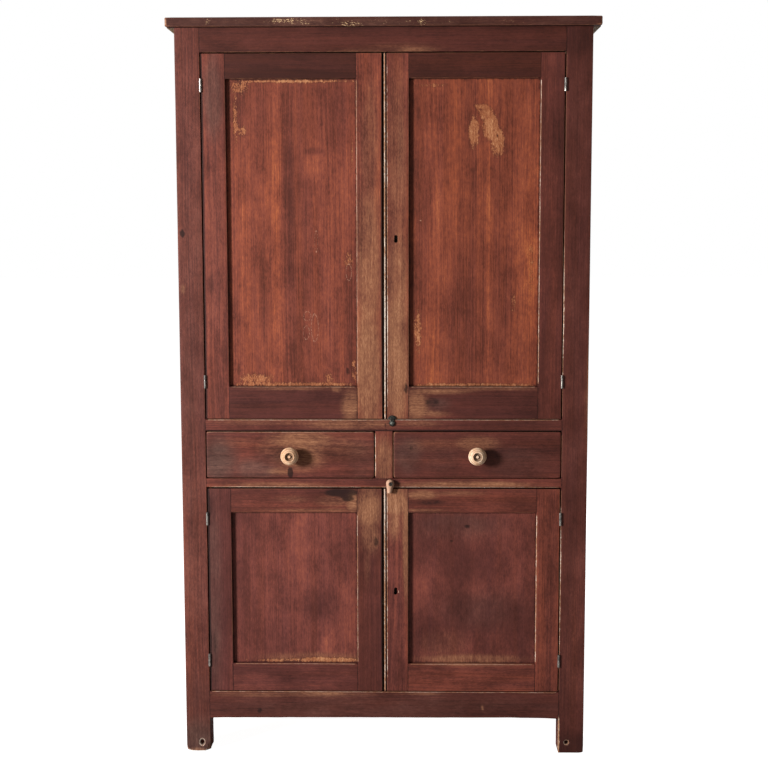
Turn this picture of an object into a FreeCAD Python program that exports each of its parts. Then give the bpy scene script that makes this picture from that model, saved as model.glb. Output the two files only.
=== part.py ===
"""Jelly cupboard: two doors over two drawers over two doors, framed round four corner posts.

Millimetres. +Z is up, the front faces -Y, +X is to the right. The origin is on the floor, at the
centre of the box that holds the whole cupboard, knobs included.
"""
import FreeCAD, Part
import math
import os

from FreeCAD import Vector

os.makedirs("parts", exist_ok=True)

# ---------------------------------------------------------------- overall
height = 1880.0
body_width = 1037.0
body_depth = 435.0

top_thickness = 22.3
top_overhang = 20.0            # at the front and at each side; the back is flush

# ---------------------------------------------------------------- posts and rails
left_post_width = 62.0
right_post_width = 65.5
front_post_depth = 65.0
back_post_depth = 45.0

rail_thickness = 25.0          # top and bottom rails, muntin
leg_height = 92.8              # floor to the underside of the bottom rail
bottom_rail_height = 69.7
lower_opening_height = 540.7
lower_drawer_rail_height = 22.5
drawer_opening_height = 123.5
upper_drawer_rail_height = 29.1
top_rail_height = 60.2

muntin_width = 44.7
muntin_shift = 1.5             # muntin centre, right of the opening's centre

tenon_thickness = 8.0
tenon_length = 25.0
tenon_shoulder = 12.0          # from a rail's edge to its tenon
flat_rail_shoulder = 6.0       # the same on the two drawer rails, which lie flat
muntin_tenon_length = 9.0

foot_hole_radius = 4.8
foot_hole_depth = 14.0
foot_hole_rim_radius = 8.5     # its worn rim, at the face
foot_hole_rim_depth = 3.0
foot_hole_height = {"left": 24.1, "right": 27.7}
foot_hole_inset = 21.5         # from the post's inner edge

# ---------------------------------------------------------------- sides and back
side_rail_thickness = 22.0
panel_thickness = 8.0
panel_tongue = 8.0
panel_play = 1.0               # room to swell at the bottom of each groove

back_board_thickness = 12.0
back_board_count = 5
back_board_gap = 1.5
back_rabbet_width = 14.0
back_rail_thickness = 22.0
back_rail_height = 60.0

# ---------------------------------------------------------------- shelves and runners
shelf_thickness = 18.0
upper_shelf_count = 2
shelf_play = 1.0
lower_shelf_height = 245.0     # above the floor board

cleat_width = 18.0
cleat_height = 25.0
cleat_setback = 4.0            # behind the doors and the bottom rail

runner_thickness = 20.0
runner_ledge = 20.0            # how far a runner reaches under its drawer
guide_height = 20.0
running_gap = 0.3
stop_width = 30.0
stop_depth = 18.0
stop_height = 10.0
stop_spacing = 260.0

# ---------------------------------------------------------------- doors
door_thickness = 22.0
door_side_gap = 3.0
meeting_gap = 4.2
door_top_gap = {"upper": 3.0, "lower": 3.9}
door_bottom_gap = {"upper": 2.3, "lower": 2.6}
meeting_shift = {"upper": 0.5, "lower": -1.1}    # meeting line, from the opening's centre
hinge_stile_width = 59.5
meeting_stile_width = {"left": 64.5, "right": 62.5}
door_top_rail_height = 61.8
door_bottom_rail_height = {"upper": 82.0, "lower": 72.5}
door_tenon_length = 40.0
panel_recess = 10.0            # door face to panel face
stop_gap = 1.0                 # door back to shelf edge, which stops the door

bead_width = 4.8
quirk_width = 2.6
quirk_depth = 2.6

# ---------------------------------------------------------------- hinges
hinge_length = 33.0
leaf_thickness = 1.5
leaf_depth = 15.0              # into the wood, from the face
knuckle_count = 5
knuckle_gap = 0.3
pin_radius = 1.5
pin_play = 0.05
hinge_proud = 2.0              # pin centre, in front of the face
knuckle_room = 0.3
hinge_from_top = 78.0
hinge_from_bottom = {"upper": 95.0, "lower": 82.0}

screw_radius = 1.5
screw_head_radius = 3.0
screw_length = 15.0
screw_spacing = 18.0
screw_play = 0.1

# ---------------------------------------------------------------- locks
lock_drop = 1.0                # keyhole centre, below the door's middle
keyhole_inset = 29.9           # from the door's meeting edge
keyhole_radius = 4.2
keyhole_height = 19.0
lock_width = 45.0
lock_height = 58.0
lock_below_keyhole = 24.0
lock_thickness = 12.0
lock_wall = 1.5
lock_selvage = 2.0
drill_pin_radius = 1.5
drill_pin_length = 8.0

bolt_length = 34.0
bolt_height = 18.0
bolt_thickness = 4.0
bolt_above_keyhole = 10.0
bolt_from_back = 7.0           # its middle, from the back of the door
bolt_play = 0.3
bolt_inset = 0.5               # its nose, behind the door's edge
bolt_travel = 8.0
bolt_mortise_play = 2.2
bolt_end_room = 8.0            # between the thrown bolt and the bottom of its mortise

# ---------------------------------------------------------------- drawers
drawer_side_gap = 2.5
drawer_gap = 2.4               # above and below the drawer front
drawer_front_thickness = 22.0
drawer_rear_gap = 16.0         # behind the drawers, to the back rails
drawer_board = 12.0
drawer_side_drop = 3.0         # the sides stop this far below the top of the front
drawer_back_drop = 9.0
drawer_bottom_thickness = 8.0
drawer_bottom_rise = 10.0
drawer_groove = 6.0
dovetail_length = 15.0
dovetail_count = 3
dovetail_slope = 1.0 / 6.0
dovetail_pin_width = 9.0       # the narrow face of the pins between the tails

knob_radius = 23.0
knob_reach = 38.0
knob_foot_radius = 13.0
knob_neck_radius = 9.5
knob_cup_radius = 12.0
knob_cup_depth = 6.5
knob_pip_radius = 5.0
knob_shank_radius = 7.0
knob_shank_play = 0.1

# ---------------------------------------------------------------- turn buttons
button_standoff = 0.4

wood_button_shift = 19.4       # its screw, right of the opening's centre
wood_button_thickness = 15.0
wood_button_radius = 10.4
wood_button_lean = 2.0         # the middle of its round end, left of the screw
wood_button_edge = 2.0
wood_button_tail_radius = 3.4
wood_button_tail_drop = 21.4
wood_button_tail_left = -6.2
wood_button_tail_right = -0.6
wood_screw_radius = 2.3
wood_screw_head_radius = 4.2
wood_screw_length = 40.0

iron_button_shift = 22.5
iron_button_drop = 9.2         # its screw, below the rail's top edge
iron_button_thickness = 3.0
iron_button_eye_radius = 7.5
iron_button_neck_width = 9.0
iron_button_head_radius = 10.6
iron_button_head_base = 10.0
iron_screw_radius = 2.0
iron_screw_head_radius = 5.0
iron_screw_head_height = 3.0
iron_screw_length = 24.0
button_screw_play = 0.1

# ---------------------------------------------------------------- nails
nail_size = 2.4
nail_length = 34.0
nail_head_size = 5.0
nail_head_thickness = 1.2
top_nail_inset = 12.0          # from the outer faces of the body
back_nail_inset = 22.0         # from each edge of a back board

# ================================================================ places worked out from the sizes
half_width = body_width / 2
front = -(body_depth - knob_reach) / 2
back = front + body_depth
under_top = height - top_thickness

left_inner = -half_width + left_post_width
right_inner = half_width - right_post_width
opening_centre = (left_inner + right_inner) / 2

front_post_back = front + front_post_depth
back_post_front = back - back_post_depth
back_board_front = back - back_board_thickness
back_rail_front = back_board_front - back_rail_thickness

bottom_rail_top = leg_height + bottom_rail_height
lower_rail_bottom = bottom_rail_top + lower_opening_height
drawer_floor = lower_rail_bottom + lower_drawer_rail_height
upper_rail_bottom = drawer_floor + drawer_opening_height
deck_top = upper_rail_bottom + upper_drawer_rail_height
deck_bottom = deck_top - shelf_thickness
top_rail_bottom = under_top - top_rail_height
floor_board_bottom = bottom_rail_top - shelf_thickness

side_inner = half_width - side_rail_thickness
panel_outer = half_width - (side_rail_thickness - panel_thickness) / 2
panel_inner = panel_outer - panel_thickness

muntin_left = opening_centre + muntin_shift - muntin_width / 2
muntin_right = muntin_left + muntin_width

drawer_bottom_edge = drawer_floor + drawer_gap
drawer_top_edge = upper_rail_bottom - drawer_gap
runner_top = drawer_bottom_edge - running_gap

knuckle_radius = door_side_gap / 2 + leaf_thickness
hinge_y = front - hinge_proud
hinge_x = {"left": left_inner + door_side_gap / 2, "right": right_inner - door_side_gap / 2}

door_levels = {
    "upper": (deck_top + door_bottom_gap["upper"], top_rail_bottom - door_top_gap["upper"]),
    "lower": (bottom_rail_top + door_bottom_gap["lower"], lower_rail_bottom - door_top_gap["lower"]),
}
TIERS = ("upper", "lower")
SIDES = ("left", "right")
OUTWARD = {"left": -1, "right": 1}     # the way from the middle of the cupboard to that side

X_AXIS = Vector(1, 0, 0)
Y_AXIS = Vector(0, 1, 0)
Z_AXIS = Vector(0, 0, 1)


# ================================================================ small tools
def block(x, y, z):
    """A box from three (low, high) pairs, given in either order."""
    low = Vector(min(x), min(y), min(z))
    high = Vector(max(x), max(y), max(z))
    size = high - low
    return Part.makeBox(size.x, size.y, size.z, low)


def rod(start, direction, radius, length):
    return Part.makeCylinder(radius, length, start, direction)


def joined(*solids):
    """One clean solid from solids that touch or overlap."""
    shape = solids[0].fuse(list(solids[1:])).removeSplitter()
    return shape.Solids[0] if len(shape.Solids) == 1 else shape


def less(shape, cutters):
    """What is left of a shape once every cutter that reaches its box is taken out."""
    near = [c for c in cutters if c.BoundBox.intersect(shape.BoundBox)]
    if not near:
        return shape
    shape = shape.cut(near).removeSplitter()
    return shape.Solids[0] if len(shape.Solids) == 1 else shape


def save(name, *solids):
    """Writes one sub-part, as one solid or as a group of separate solids."""
    pieces = [piece for shape in solids for piece in shape.Solids]
    whole = pieces[0] if len(pieces) == 1 else Part.makeCompound(pieces)
    whole.exportStep(f"parts/{name}.step")


def belt(circles):
    """A closed outline round circles (x, y, radius) that are given anticlockwise."""
    edges = []
    normals = []
    for one, other in zip(circles, circles[1:] + circles[:1]):
        dx, dy = other[0] - one[0], other[1] - one[1]
        turn = math.acos((one[2] - other[2]) / math.hypot(dx, dy))
        normals.append(math.atan2(dy, dx) - turn)

    def on(circle, angle):
        x, y, radius = circle
        return Vector(x + radius * math.cos(angle), y + radius * math.sin(angle), 0)

    for i, circle in enumerate(circles):
        arriving = normals[i - 1]
        leaving = normals[i]
        sweep = (leaving - arriving) % (2 * math.pi)
        middle = arriving + sweep / 2
        edges.append(Part.Arc(on(circle, arriving), on(circle, middle), on(circle, leaving)).toShape())
        following = circles[(i + 1) % len(circles)]
        edges.append(Part.LineSegment(on(circle, leaving), on(following, leaving)).toShape())
    return Part.Wire(Part.__sortEdges__(edges))


def upright(outline, thickness, centre):
    """A flat outline stood up in the XZ plane behind a face: its back at centre, its front nearer -Y."""
    solid = Part.Face(outline).extrude(Vector(0, 0, thickness))
    solid.rotate(Vector(0, 0, 0), X_AXIS, 90)
    solid.translate(centre)
    return solid


# ================================================================ nails and screws
def nail(head, direction):
    """A cut nail, its head's face centred on a point, driven along one of the axes."""
    reach = Vector(direction) * nail_length
    shank_half = Vector(1, 1, 1) * (nail_size / 2)
    head_half = Vector(1, 1, 1) * (nail_head_size / 2)
    depth = Vector(direction) * nail_head_thickness
    across = Vector(1 - abs(direction.x), 1 - abs(direction.y), 1 - abs(direction.z))

    def span(half, far):
        low = [min(head[i], head[i] + far[i]) - half[i] * across[i] for i in range(3)]
        high = [max(head[i], head[i] + far[i]) + half[i] * across[i] for i in range(3)]
        return block(*zip(low, high))

    return joined(span(shank_half, reach), span(head_half, depth))


def hinge_screw(head, direction, play=0.0):
    """A countersunk screw, its head's face centred on a point. With play it is the hole for it."""
    cone_height = screw_head_radius - screw_radius
    cone = Part.makeCone(screw_head_radius + play, screw_radius + play, cone_height, head, direction)
    shank = rod(head + direction * cone_height, direction, screw_radius + play,
                screw_length - cone_height)
    point = Part.makeCone(screw_radius + play, 0, screw_radius + play,
                          head + direction * screw_length, direction)
    return joined(cone, shank, point)


# ================================================================ case: rails, muntin, panels
def cross_rail(y, z, tenon_y, tenon_z):
    """A rail from post to post, with a tenon at each end."""
    rail = block((left_inner, right_inner), y, z)
    bar = block((left_inner - tenon_length, right_inner + tenon_length), tenon_y, tenon_z)
    return joined(rail, bar)


def standing_rail(y, z):
    """A cross rail that stands on edge. Its tenon is in the middle of its thickness."""
    middle = (y[0] + y[1]) / 2
    tenon_y = (middle - tenon_thickness / 2, middle + tenon_thickness / 2)
    return cross_rail(y, z, tenon_y, (z[0] + tenon_shoulder, z[1] - tenon_shoulder))


def flat_rail(z):
    """A drawer rail that lies flat, as deep as the front posts."""
    y = (front, front_post_back)
    tenon_y = (front + tenon_shoulder, front_post_back - tenon_shoulder)
    return cross_rail(y, z, tenon_y, (z[0] + flat_rail_shoulder, z[1] - flat_rail_shoulder))


def side_rail(side, z):
    """A rail between the front and back posts, with a tenon at each end."""
    out = OUTWARD[side]
    rail = block((out * side_inner, out * half_width), (front_post_back, back_post_front), z)
    tenon_y = (front_post_back - tenon_length, back_post_front + tenon_length)
    bar = block((out * panel_inner, out * panel_outer), tenon_y,
                (z[0] + tenon_shoulder, z[1] - tenon_shoulder))
    return joined(rail, bar)


def panel_and_groove(x, y, z, thin):
    """A flat panel for the opening x, y, z with its tongues, and the grooves that hold them."""
    spans = [x, y, z]
    panel = [s if i == thin else (min(s) - panel_tongue, max(s) + panel_tongue)
             for i, s in enumerate(spans)]
    groove = [s if i == thin else (min(s) - panel_play, max(s) + panel_play)
              for i, s in enumerate(panel)]
    return block(*panel), block(*groove)


side_rail_levels = (
    (leg_height, bottom_rail_top),
    (lower_rail_bottom, deck_bottom),
    (top_rail_bottom, under_top),
)
side_panel_levels = (
    (bottom_rail_top, lower_rail_bottom),
    (deck_bottom, top_rail_bottom),
)
back_rail_levels = (
    (leg_height, floor_board_bottom),
    (runner_top - back_rail_height, runner_top),
    (deck_bottom - back_rail_height, deck_bottom),
    (under_top - back_rail_height, under_top),
)

front_thin = (front, front + rail_thickness)
front_top_rail = standing_rail(front_thin, (top_rail_bottom, under_top))
front_bottom_rail = standing_rail(front_thin, (leg_height, bottom_rail_top))
upper_drawer_rail = flat_rail((upper_rail_bottom, deck_top))
lower_drawer_rail = flat_rail((lower_rail_bottom, drawer_floor))

muntin_tenon_y = front + (rail_thickness - tenon_thickness) / 2
drawer_muntin = joined(
    block((muntin_left, muntin_right), front_thin, (drawer_floor, upper_rail_bottom)),
    block((muntin_left + tenon_shoulder, muntin_right - tenon_shoulder),
          (muntin_tenon_y, muntin_tenon_y + tenon_thickness),
          (drawer_floor - muntin_tenon_length, upper_rail_bottom + muntin_tenon_length)),
)

side_rails = [side_rail(side, z) for side in SIDES for z in side_rail_levels]
side_panels = []
side_grooves = []
for side in SIDES:
    for z in side_panel_levels:
        out = OUTWARD[side]
        panel, groove = panel_and_groove((out * panel_inner, out * panel_outer),
                                         (front_post_back, back_post_front), z, thin=0)
        side_panels.append(panel)
        side_grooves.append(groove)

back_rails = [standing_rail((back_rail_front, back_board_front), z) for z in back_rail_levels]


# ================================================================ back boards and nails
back_boards_left = left_inner - back_rabbet_width
back_boards_right = right_inner + back_rabbet_width
back_board_pitch = (back_boards_right - back_boards_left + back_board_gap) / back_board_count
back_board_edges = [
    (back_boards_left + i * back_board_pitch,
     back_boards_left + (i + 1) * back_board_pitch - back_board_gap)
    for i in range(back_board_count)
]

back_nails = [
    nail(Vector(x, back, (z[0] + z[1]) / 2), Vector(0, -1, 0))
    for edges in back_board_edges
    for x in (edges[0] + back_nail_inset, edges[1] - back_nail_inset)
    for z in back_rail_levels
]
nails_through_top = [
    nail(Vector(x, front + top_nail_inset, height), Vector(0, 0, -1))
    for x in (left_inner / 2, opening_centre, right_inner / 2)
] + [
    nail(Vector(out * (half_width - top_nail_inset), y, height), Vector(0, 0, -1))
    for out in OUTWARD.values()
    for y in (front + top_nail_inset, (front + back) / 2, back - top_nail_inset)
]
nails = back_nails + nails_through_top

back_boards = [
    less(block(x, (back_board_front, back), (leg_height, under_top)), back_nails)
    for x in back_board_edges
]
back_rails = [less(rail, back_nails) for rail in back_rails]

top_board = less(
    block((-half_width - top_overhang, half_width + top_overhang),
          (front - top_overhang, back), (under_top, height)),
    nails_through_top)


# ================================================================ hinges
def knuckle_spans(centre, owner):
    """Heights of the knuckles of one leaf: 0 for the case leaf, 1 for the door leaf."""
    pitch = hinge_length / knuckle_count
    low = centre - hinge_length / 2
    return [(low + i * pitch + (knuckle_gap / 2 if i else 0),
             low + (i + 1) * pitch - (knuckle_gap / 2 if i < knuckle_count - 1 else 0))
            for i in range(knuckle_count) if i % 2 == owner]


def leaf_x(side, owner):
    """The leaf's thickness span: the case leaf is outward of the pin, the door leaf inward."""
    way = OUTWARD[side] * (1 if owner == 0 else -1)
    return (hinge_x[side] + way * door_side_gap / 2, hinge_x[side] + way * knuckle_radius)


def leaf_screws(side, centre, owner, play=0.0):
    """Screws of one leaf, driven from the gap into the wood."""
    way = OUTWARD[side] * (1 if owner == 0 else -1)
    x = hinge_x[side] + way * door_side_gap / 2
    y = front + leaf_depth / 2
    return [hinge_screw(Vector(x, y, centre + step), Vector(way, 0, 0), play)
            for step in (-screw_spacing / 2, screw_spacing / 2)]


def hinge_leaf(side, centre, owner):
    """A leaf with its knuckles, bored for the pin."""
    plate_front = hinge_y + knuckle_radius + knuckle_room
    plate = block(leaf_x(side, owner), (plate_front, front + leaf_depth),
                  (centre - hinge_length / 2, centre + hinge_length / 2))
    pieces = [plate]
    for z in knuckle_spans(centre, owner):
        pieces.append(block(leaf_x(side, owner), (hinge_y, plate_front), z))
        pieces.append(rod(Vector(hinge_x[side], hinge_y, z[0]), Z_AXIS, knuckle_radius, z[1] - z[0]))
    bore = rod(Vector(hinge_x[side], hinge_y, centre - hinge_length), Z_AXIS,
               pin_radius + pin_play, 2 * hinge_length)
    return less(joined(*pieces), [bore] + leaf_screws(side, centre, owner, screw_play))


def hinge_pin(side, centre):
    return rod(Vector(hinge_x[side], hinge_y, centre - hinge_length / 2), Z_AXIS,
               pin_radius, hinge_length)


def hinge_cuts(side, centre, owner):
    """What a hinge takes out of the wood: the leaf's gain, room for the barrel, screw holes."""
    z = (centre - hinge_length / 2, centre + hinge_length / 2)
    gain = block(leaf_x(side, owner), (front - hinge_proud, front + leaf_depth), z)
    barrel = rod(Vector(hinge_x[side], hinge_y, z[0]), Z_AXIS,
                 knuckle_radius + knuckle_room, hinge_length)
    return [gain, barrel] + leaf_screws(side, centre, owner, screw_play)


def hinge_centres(tier):
    low, high = door_levels[tier]
    return (low + hinge_from_bottom[tier], high - hinge_from_top)


case_hinges = [(side, z) for side in SIDES for tier in TIERS for z in hinge_centres(tier)]

# ================================================================ posts
post_blocks = {
    "post_front_left": ((-half_width, left_inner), (front, front_post_back)),
    "post_front_right": ((right_inner, half_width), (front, front_post_back)),
    "post_back_left": ((-half_width, left_inner), (back_post_front, back)),
    "post_back_right": ((right_inner, half_width), (back_post_front, back)),
}
rails_in_posts = [front_top_rail, front_bottom_rail, upper_drawer_rail, lower_drawer_rail]
rails_in_posts += side_rails + back_rails



def foot_hole(side):
    """An old fixing hole in the face of a front foot, its rim worn to a shallow cone."""
    x = {"left": left_inner - foot_hole_inset, "right": right_inner + foot_hole_inset}[side]
    mouth = Vector(x, front, foot_hole_height[side])
    rim = Part.makeCone(foot_hole_rim_radius, foot_hole_radius, foot_hole_rim_depth, mouth, Y_AXIS)
    return joined(rim, rod(mouth, Y_AXIS, foot_hole_radius, foot_hole_depth))


foot_holes = [foot_hole(side) for side in SIDES]
case_hinge_cuts = [cut for side, z in case_hinges for cut in hinge_cuts(side, z, 0)]
back_rabbet = block((back_boards_left, back_boards_right), (back_board_front, back),
                    (leg_height, under_top))
post_cutters = rails_in_posts + side_grooves + foot_holes + case_hinge_cuts
post_cutters += [back_rabbet] + nails_through_top

for name, (x, y) in post_blocks.items():
    save(name, less(block(x, y, (0, under_top)), post_cutters))

# ================================================================ buttons and their screws
wood_button_x = opening_centre + wood_button_shift
iron_button_x = opening_centre + iron_button_shift
wood_button_z = (lower_rail_bottom + drawer_floor) / 2
iron_button_z = deck_top - iron_button_drop
wood_button_back = front - button_standoff
iron_button_back = front - button_standoff


def wooden_turn_button():
    """A teardrop that hangs from its screw, with its front edge eased."""
    outline = belt([
        (-wood_button_lean, 0, wood_button_radius),
        (wood_button_tail_left, -wood_button_tail_drop, wood_button_tail_radius),
        (wood_button_tail_right, -wood_button_tail_drop, wood_button_tail_radius),
    ])
    solid = upright(outline, wood_button_thickness, Vector(wood_button_x, wood_button_back,
                                                           wood_button_z))
    rim = [edge for edge in solid.Edges
           if abs(edge.CenterOfMass.y - (wood_button_back - wood_button_thickness)) < 0.01]
    return solid.makeFillet(wood_button_edge, rim)


def wood_button_screw(play=0.0):
    face = wood_button_back - wood_button_thickness
    start = Vector(wood_button_x, face, wood_button_z)
    sink = wood_screw_head_radius - wood_screw_radius
    cone = Part.makeCone(wood_screw_head_radius + play, wood_screw_radius + play, sink, start, Y_AXIS)
    return joined(cone, rod(start + Y_AXIS * sink, Y_AXIS, wood_screw_radius + play,
                            wood_screw_length - sink))


def iron_turn_button():
    """A small plate with an eye round its screw, a neck, and a half-round head."""
    eye = upright(Part.Wire(Part.makeCircle(iron_button_eye_radius)), iron_button_thickness,
                  Vector(iron_button_x, iron_button_back, iron_button_z))
    neck = block((iron_button_x - iron_button_neck_width / 2, iron_button_x + iron_button_neck_width / 2),
                 (iron_button_back - iron_button_thickness, iron_button_back),
                 (iron_button_z, iron_button_z + iron_button_head_base + 1))
    disc = upright(Part.Wire(Part.makeCircle(iron_button_head_radius)), iron_button_thickness,
                   Vector(iron_button_x, iron_button_back, iron_button_z + iron_button_head_base))
    above = block((iron_button_x - 2 * iron_button_head_radius, iron_button_x + 2 * iron_button_head_radius),
                  (front - body_depth, front),
                  (iron_button_z + iron_button_head_base, iron_button_z + 4 * iron_button_head_radius))
    return joined(eye, neck, disc.common(above))


def iron_button_screw(play=0.0):
    """A round-headed screw. With play it is only the hole for the shank."""
    face = iron_button_back - iron_button_thickness
    centre = Vector(iron_button_x, face - button_standoff, iron_button_z)
    shank = rod(centre, Y_AXIS, iron_screw_radius + play, iron_screw_length)
    if play:
        return shank
    dome_radius = (iron_screw_head_radius ** 2 + iron_screw_head_height ** 2) / (2 * iron_screw_head_height)
    dome = Part.makeSphere(dome_radius, centre + Y_AXIS * (dome_radius - iron_screw_head_height))
    room = 2 * dome_radius
    in_front = block((iron_button_x - room, iron_button_x + room), (centre.y - room, centre.y),
                     (iron_button_z - room, iron_button_z + room))
    return joined(dome.common(in_front), shank)


wood_screw_hole = wood_button_screw(button_screw_play)
iron_screw_hole = iron_button_screw(button_screw_play)

save("wooden_turn_button", less(wooden_turn_button(), [wood_screw_hole]))
save("iron_turn_button", less(iron_turn_button(), [iron_screw_hole]))
save("turn_button_screws", wood_button_screw(), iron_button_screw())

# ================================================================ save the case frame
save("top_board", top_board)
save("front_top_rail", less(front_top_rail, nails_through_top))
save("front_bottom_rail", front_bottom_rail)
save("upper_drawer_rail", less(upper_drawer_rail, [drawer_muntin, iron_screw_hole]))
save("lower_drawer_rail", less(lower_drawer_rail, [drawer_muntin, wood_screw_hole]))
save("drawer_muntin", drawer_muntin)
save("side_rails", *[less(rail, side_grooves + nails_through_top) for rail in side_rails])
save("side_panels", *side_panels)
save("back_rails", *back_rails)
save("back_boards", *back_boards)
save("board_nails", *nails)
save("hinge_case_leaves", *[hinge_leaf(side, z, 0) for side, z in case_hinges])
save("hinge_pins", *[hinge_pin(side, z) for side, z in case_hinges])
save("hinge_case_screws", *[screw for side, z in case_hinges for screw in leaf_screws(side, z, 0)])


# ================================================================ shelves, cleats and runners
def shelf(top, y_front):
    """A board across the case, notched round the posts."""
    reach = side_inner - shelf_play
    board = block((-reach, reach), (y_front, back_board_front - shelf_play),
                  (top - shelf_thickness, top))
    notches = []
    for x in ((-half_width, left_inner + shelf_play), (right_inner - shelf_play, half_width)):
        for y in ((front, front_post_back + shelf_play), (back_post_front - shelf_play, back)):
            notches.append(block(x, y, (0, height)))
    return less(board, notches)


def cleats(under, x_pairs, y):
    return [block(x, y, (under - cleat_height, under)) for x in x_pairs]


shelf_front = front + door_thickness + stop_gap
lower_shelf_top = bottom_rail_top + lower_shelf_height
upper_shelf_pitch = (under_top - deck_top) / (upper_shelf_count + 1)
upper_shelf_tops = [deck_top + (i + 1) * upper_shelf_pitch for i in range(upper_shelf_count)]
shelf_tops = upper_shelf_tops + [lower_shelf_top]

save("shelves", *[shelf(z, shelf_front) for z in shelf_tops])
save("drawer_deck", shelf(deck_top, front_post_back))
save("bottom_board", shelf(bottom_rail_top, front + rail_thickness))

post_cleat_x = ((left_inner, left_inner + cleat_width), (right_inner - cleat_width, right_inner))
post_cleat_y = (front + max(door_thickness, rail_thickness) + cleat_setback, back_rail_front)
side_cleat_x = ((-side_inner, -side_inner + cleat_width), (side_inner - cleat_width, side_inner))
shelf_cleats = cleats(deck_bottom, side_cleat_x, (front_post_back, back_post_front))
for z in shelf_tops + [bottom_rail_top]:
    shelf_cleats += cleats(z - shelf_thickness, post_cleat_x, post_cleat_y)
save("shelf_cleats", *shelf_cleats)

drawer_spans = {
    "left": (left_inner + drawer_side_gap, muntin_left - drawer_side_gap),
    "right": (muntin_right + drawer_side_gap, right_inner - drawer_side_gap),
}
runner_z = (runner_top - runner_thickness, runner_top)
guide_z = (runner_top, runner_top + guide_height)
side_runner_y = (front_post_back, back_post_front)
centre_runner_y = (front_post_back, back_rail_front)

runners = [
    block((-side_inner, left_inner + runner_ledge), side_runner_y, runner_z),
    block((right_inner - runner_ledge, side_inner), side_runner_y, runner_z),
    block((muntin_left - runner_ledge, muntin_right + runner_ledge), centre_runner_y, runner_z),
    block((-side_inner, left_inner), side_runner_y, guide_z),
    block((right_inner, side_inner), side_runner_y, guide_z),
    block((muntin_left, muntin_right), centre_runner_y, guide_z),
]
stop_front = front + drawer_front_thickness + running_gap
drawer_stops = [
    block((x - stop_width / 2, x + stop_width / 2), (stop_front, stop_front + stop_depth),
          (drawer_floor, drawer_floor + stop_height))
    for low, high in drawer_spans.values()
    for x in ((low + high - stop_spacing) / 2, (low + high + stop_spacing) / 2)
]
save("drawer_runners_and_stops", *runners, *drawer_stops)


# ================================================================ locks
def lock_places(tier):
    """Keyhole centre x and z, and the meeting edge's x, of the right door in a tier."""
    low, high = door_levels[tier]
    edge = meeting_edges(tier)["right"]
    return edge + keyhole_inset, (low + high) / 2 - lock_drop, edge


def meeting_edges(tier):
    middle = opening_centre + meeting_shift[tier]
    return {"left": middle - meeting_gap / 2, "right": middle + meeting_gap / 2}


def lock_box(tier):
    """The space that a lock takes in the back of a right door."""
    keyhole_x, keyhole_z, edge = lock_places(tier)
    low = keyhole_z - lock_below_keyhole
    rear = front + door_thickness
    return (edge, edge + lock_width), (rear - lock_thickness, rear), (low, low + lock_height)


def bolt_spans(tier):
    keyhole_x, keyhole_z, edge = lock_places(tier)
    middle = front + door_thickness - bolt_from_back
    low = keyhole_z + bolt_above_keyhole
    return ((edge + bolt_inset, edge + bolt_inset + bolt_length),
            (middle - bolt_thickness / 2, middle + bolt_thickness / 2),
            (low, low + bolt_height))


def grown(spans, amount):
    return [(low - amount, high + amount) for low, high in spans]


def lock_case(tier):
    """A sheet-iron box open towards the wood, with a thick selvage at the edge and a drill pin."""
    x, y, z = lock_box(tier)
    keyhole_x, keyhole_z, edge = lock_places(tier)
    hollow = block((x[0] + lock_selvage, x[1] - lock_wall), (y[0], y[1] - lock_wall),
                   (z[0] + lock_wall, z[1] - lock_wall))
    slot_x, slot_y, slot_z = grown(bolt_spans(tier), bolt_play)
    bolt_slot = block((edge - bolt_inset, slot_x[1]), slot_y, slot_z)
    drill_pin = rod(Vector(keyhole_x, y[1] - lock_wall, keyhole_z), Vector(0, -1, 0),
                    drill_pin_radius, drill_pin_length)
    return joined(less(block(x, y, z), [hollow, bolt_slot]), drill_pin)


def keyhole(tier):
    """A slot with round ends, from the face of the door to its lock."""
    keyhole_x, keyhole_z, edge = lock_places(tier)
    straight = keyhole_height / 2 - keyhole_radius
    depth = door_thickness - lock_thickness
    ends = [rod(Vector(keyhole_x, front, keyhole_z + way * straight), Y_AXIS, keyhole_radius, depth)
            for way in (-1, 1)]
    middle = block((keyhole_x - keyhole_radius, keyhole_x + keyhole_radius), (front, front + depth),
                   (keyhole_z - straight, keyhole_z + straight))
    return joined(ends[0], middle, ends[1])


def bolt_mortise(tier):
    """The hole for the bolt in the left door's meeting edge."""
    x, y, z = bolt_spans(tier)
    edge = meeting_edges(tier)["left"]
    play = bolt_mortise_play
    depth = bolt_travel - bolt_inset - meeting_gap + bolt_end_room
    return block((edge - depth, edge), (y[0] - play, y[1] + play), (z[0] - play, z[1] + play))


# ================================================================ doors
def beaded(stile, edge):
    """Works a quirked bead on the meeting edge of a right door."""
    low, high = stile.BoundBox.ZMin, stile.BoundBox.ZMax
    quirk = block((edge + bead_width, edge + bead_width + quirk_width),
                  (front, front + quirk_depth), (low, high))
    stile = stile.cut(quirk)
    arrises = [e for e in stile.Edges
               if e.BoundBox.ZLength > 0.9 * (high - low) and abs(e.CenterOfMass.y - front) < 0.01
               and e.CenterOfMass.x < edge + bead_width + 0.01]
    return stile.makeFillet(bead_width * 0.45, arrises)


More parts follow.
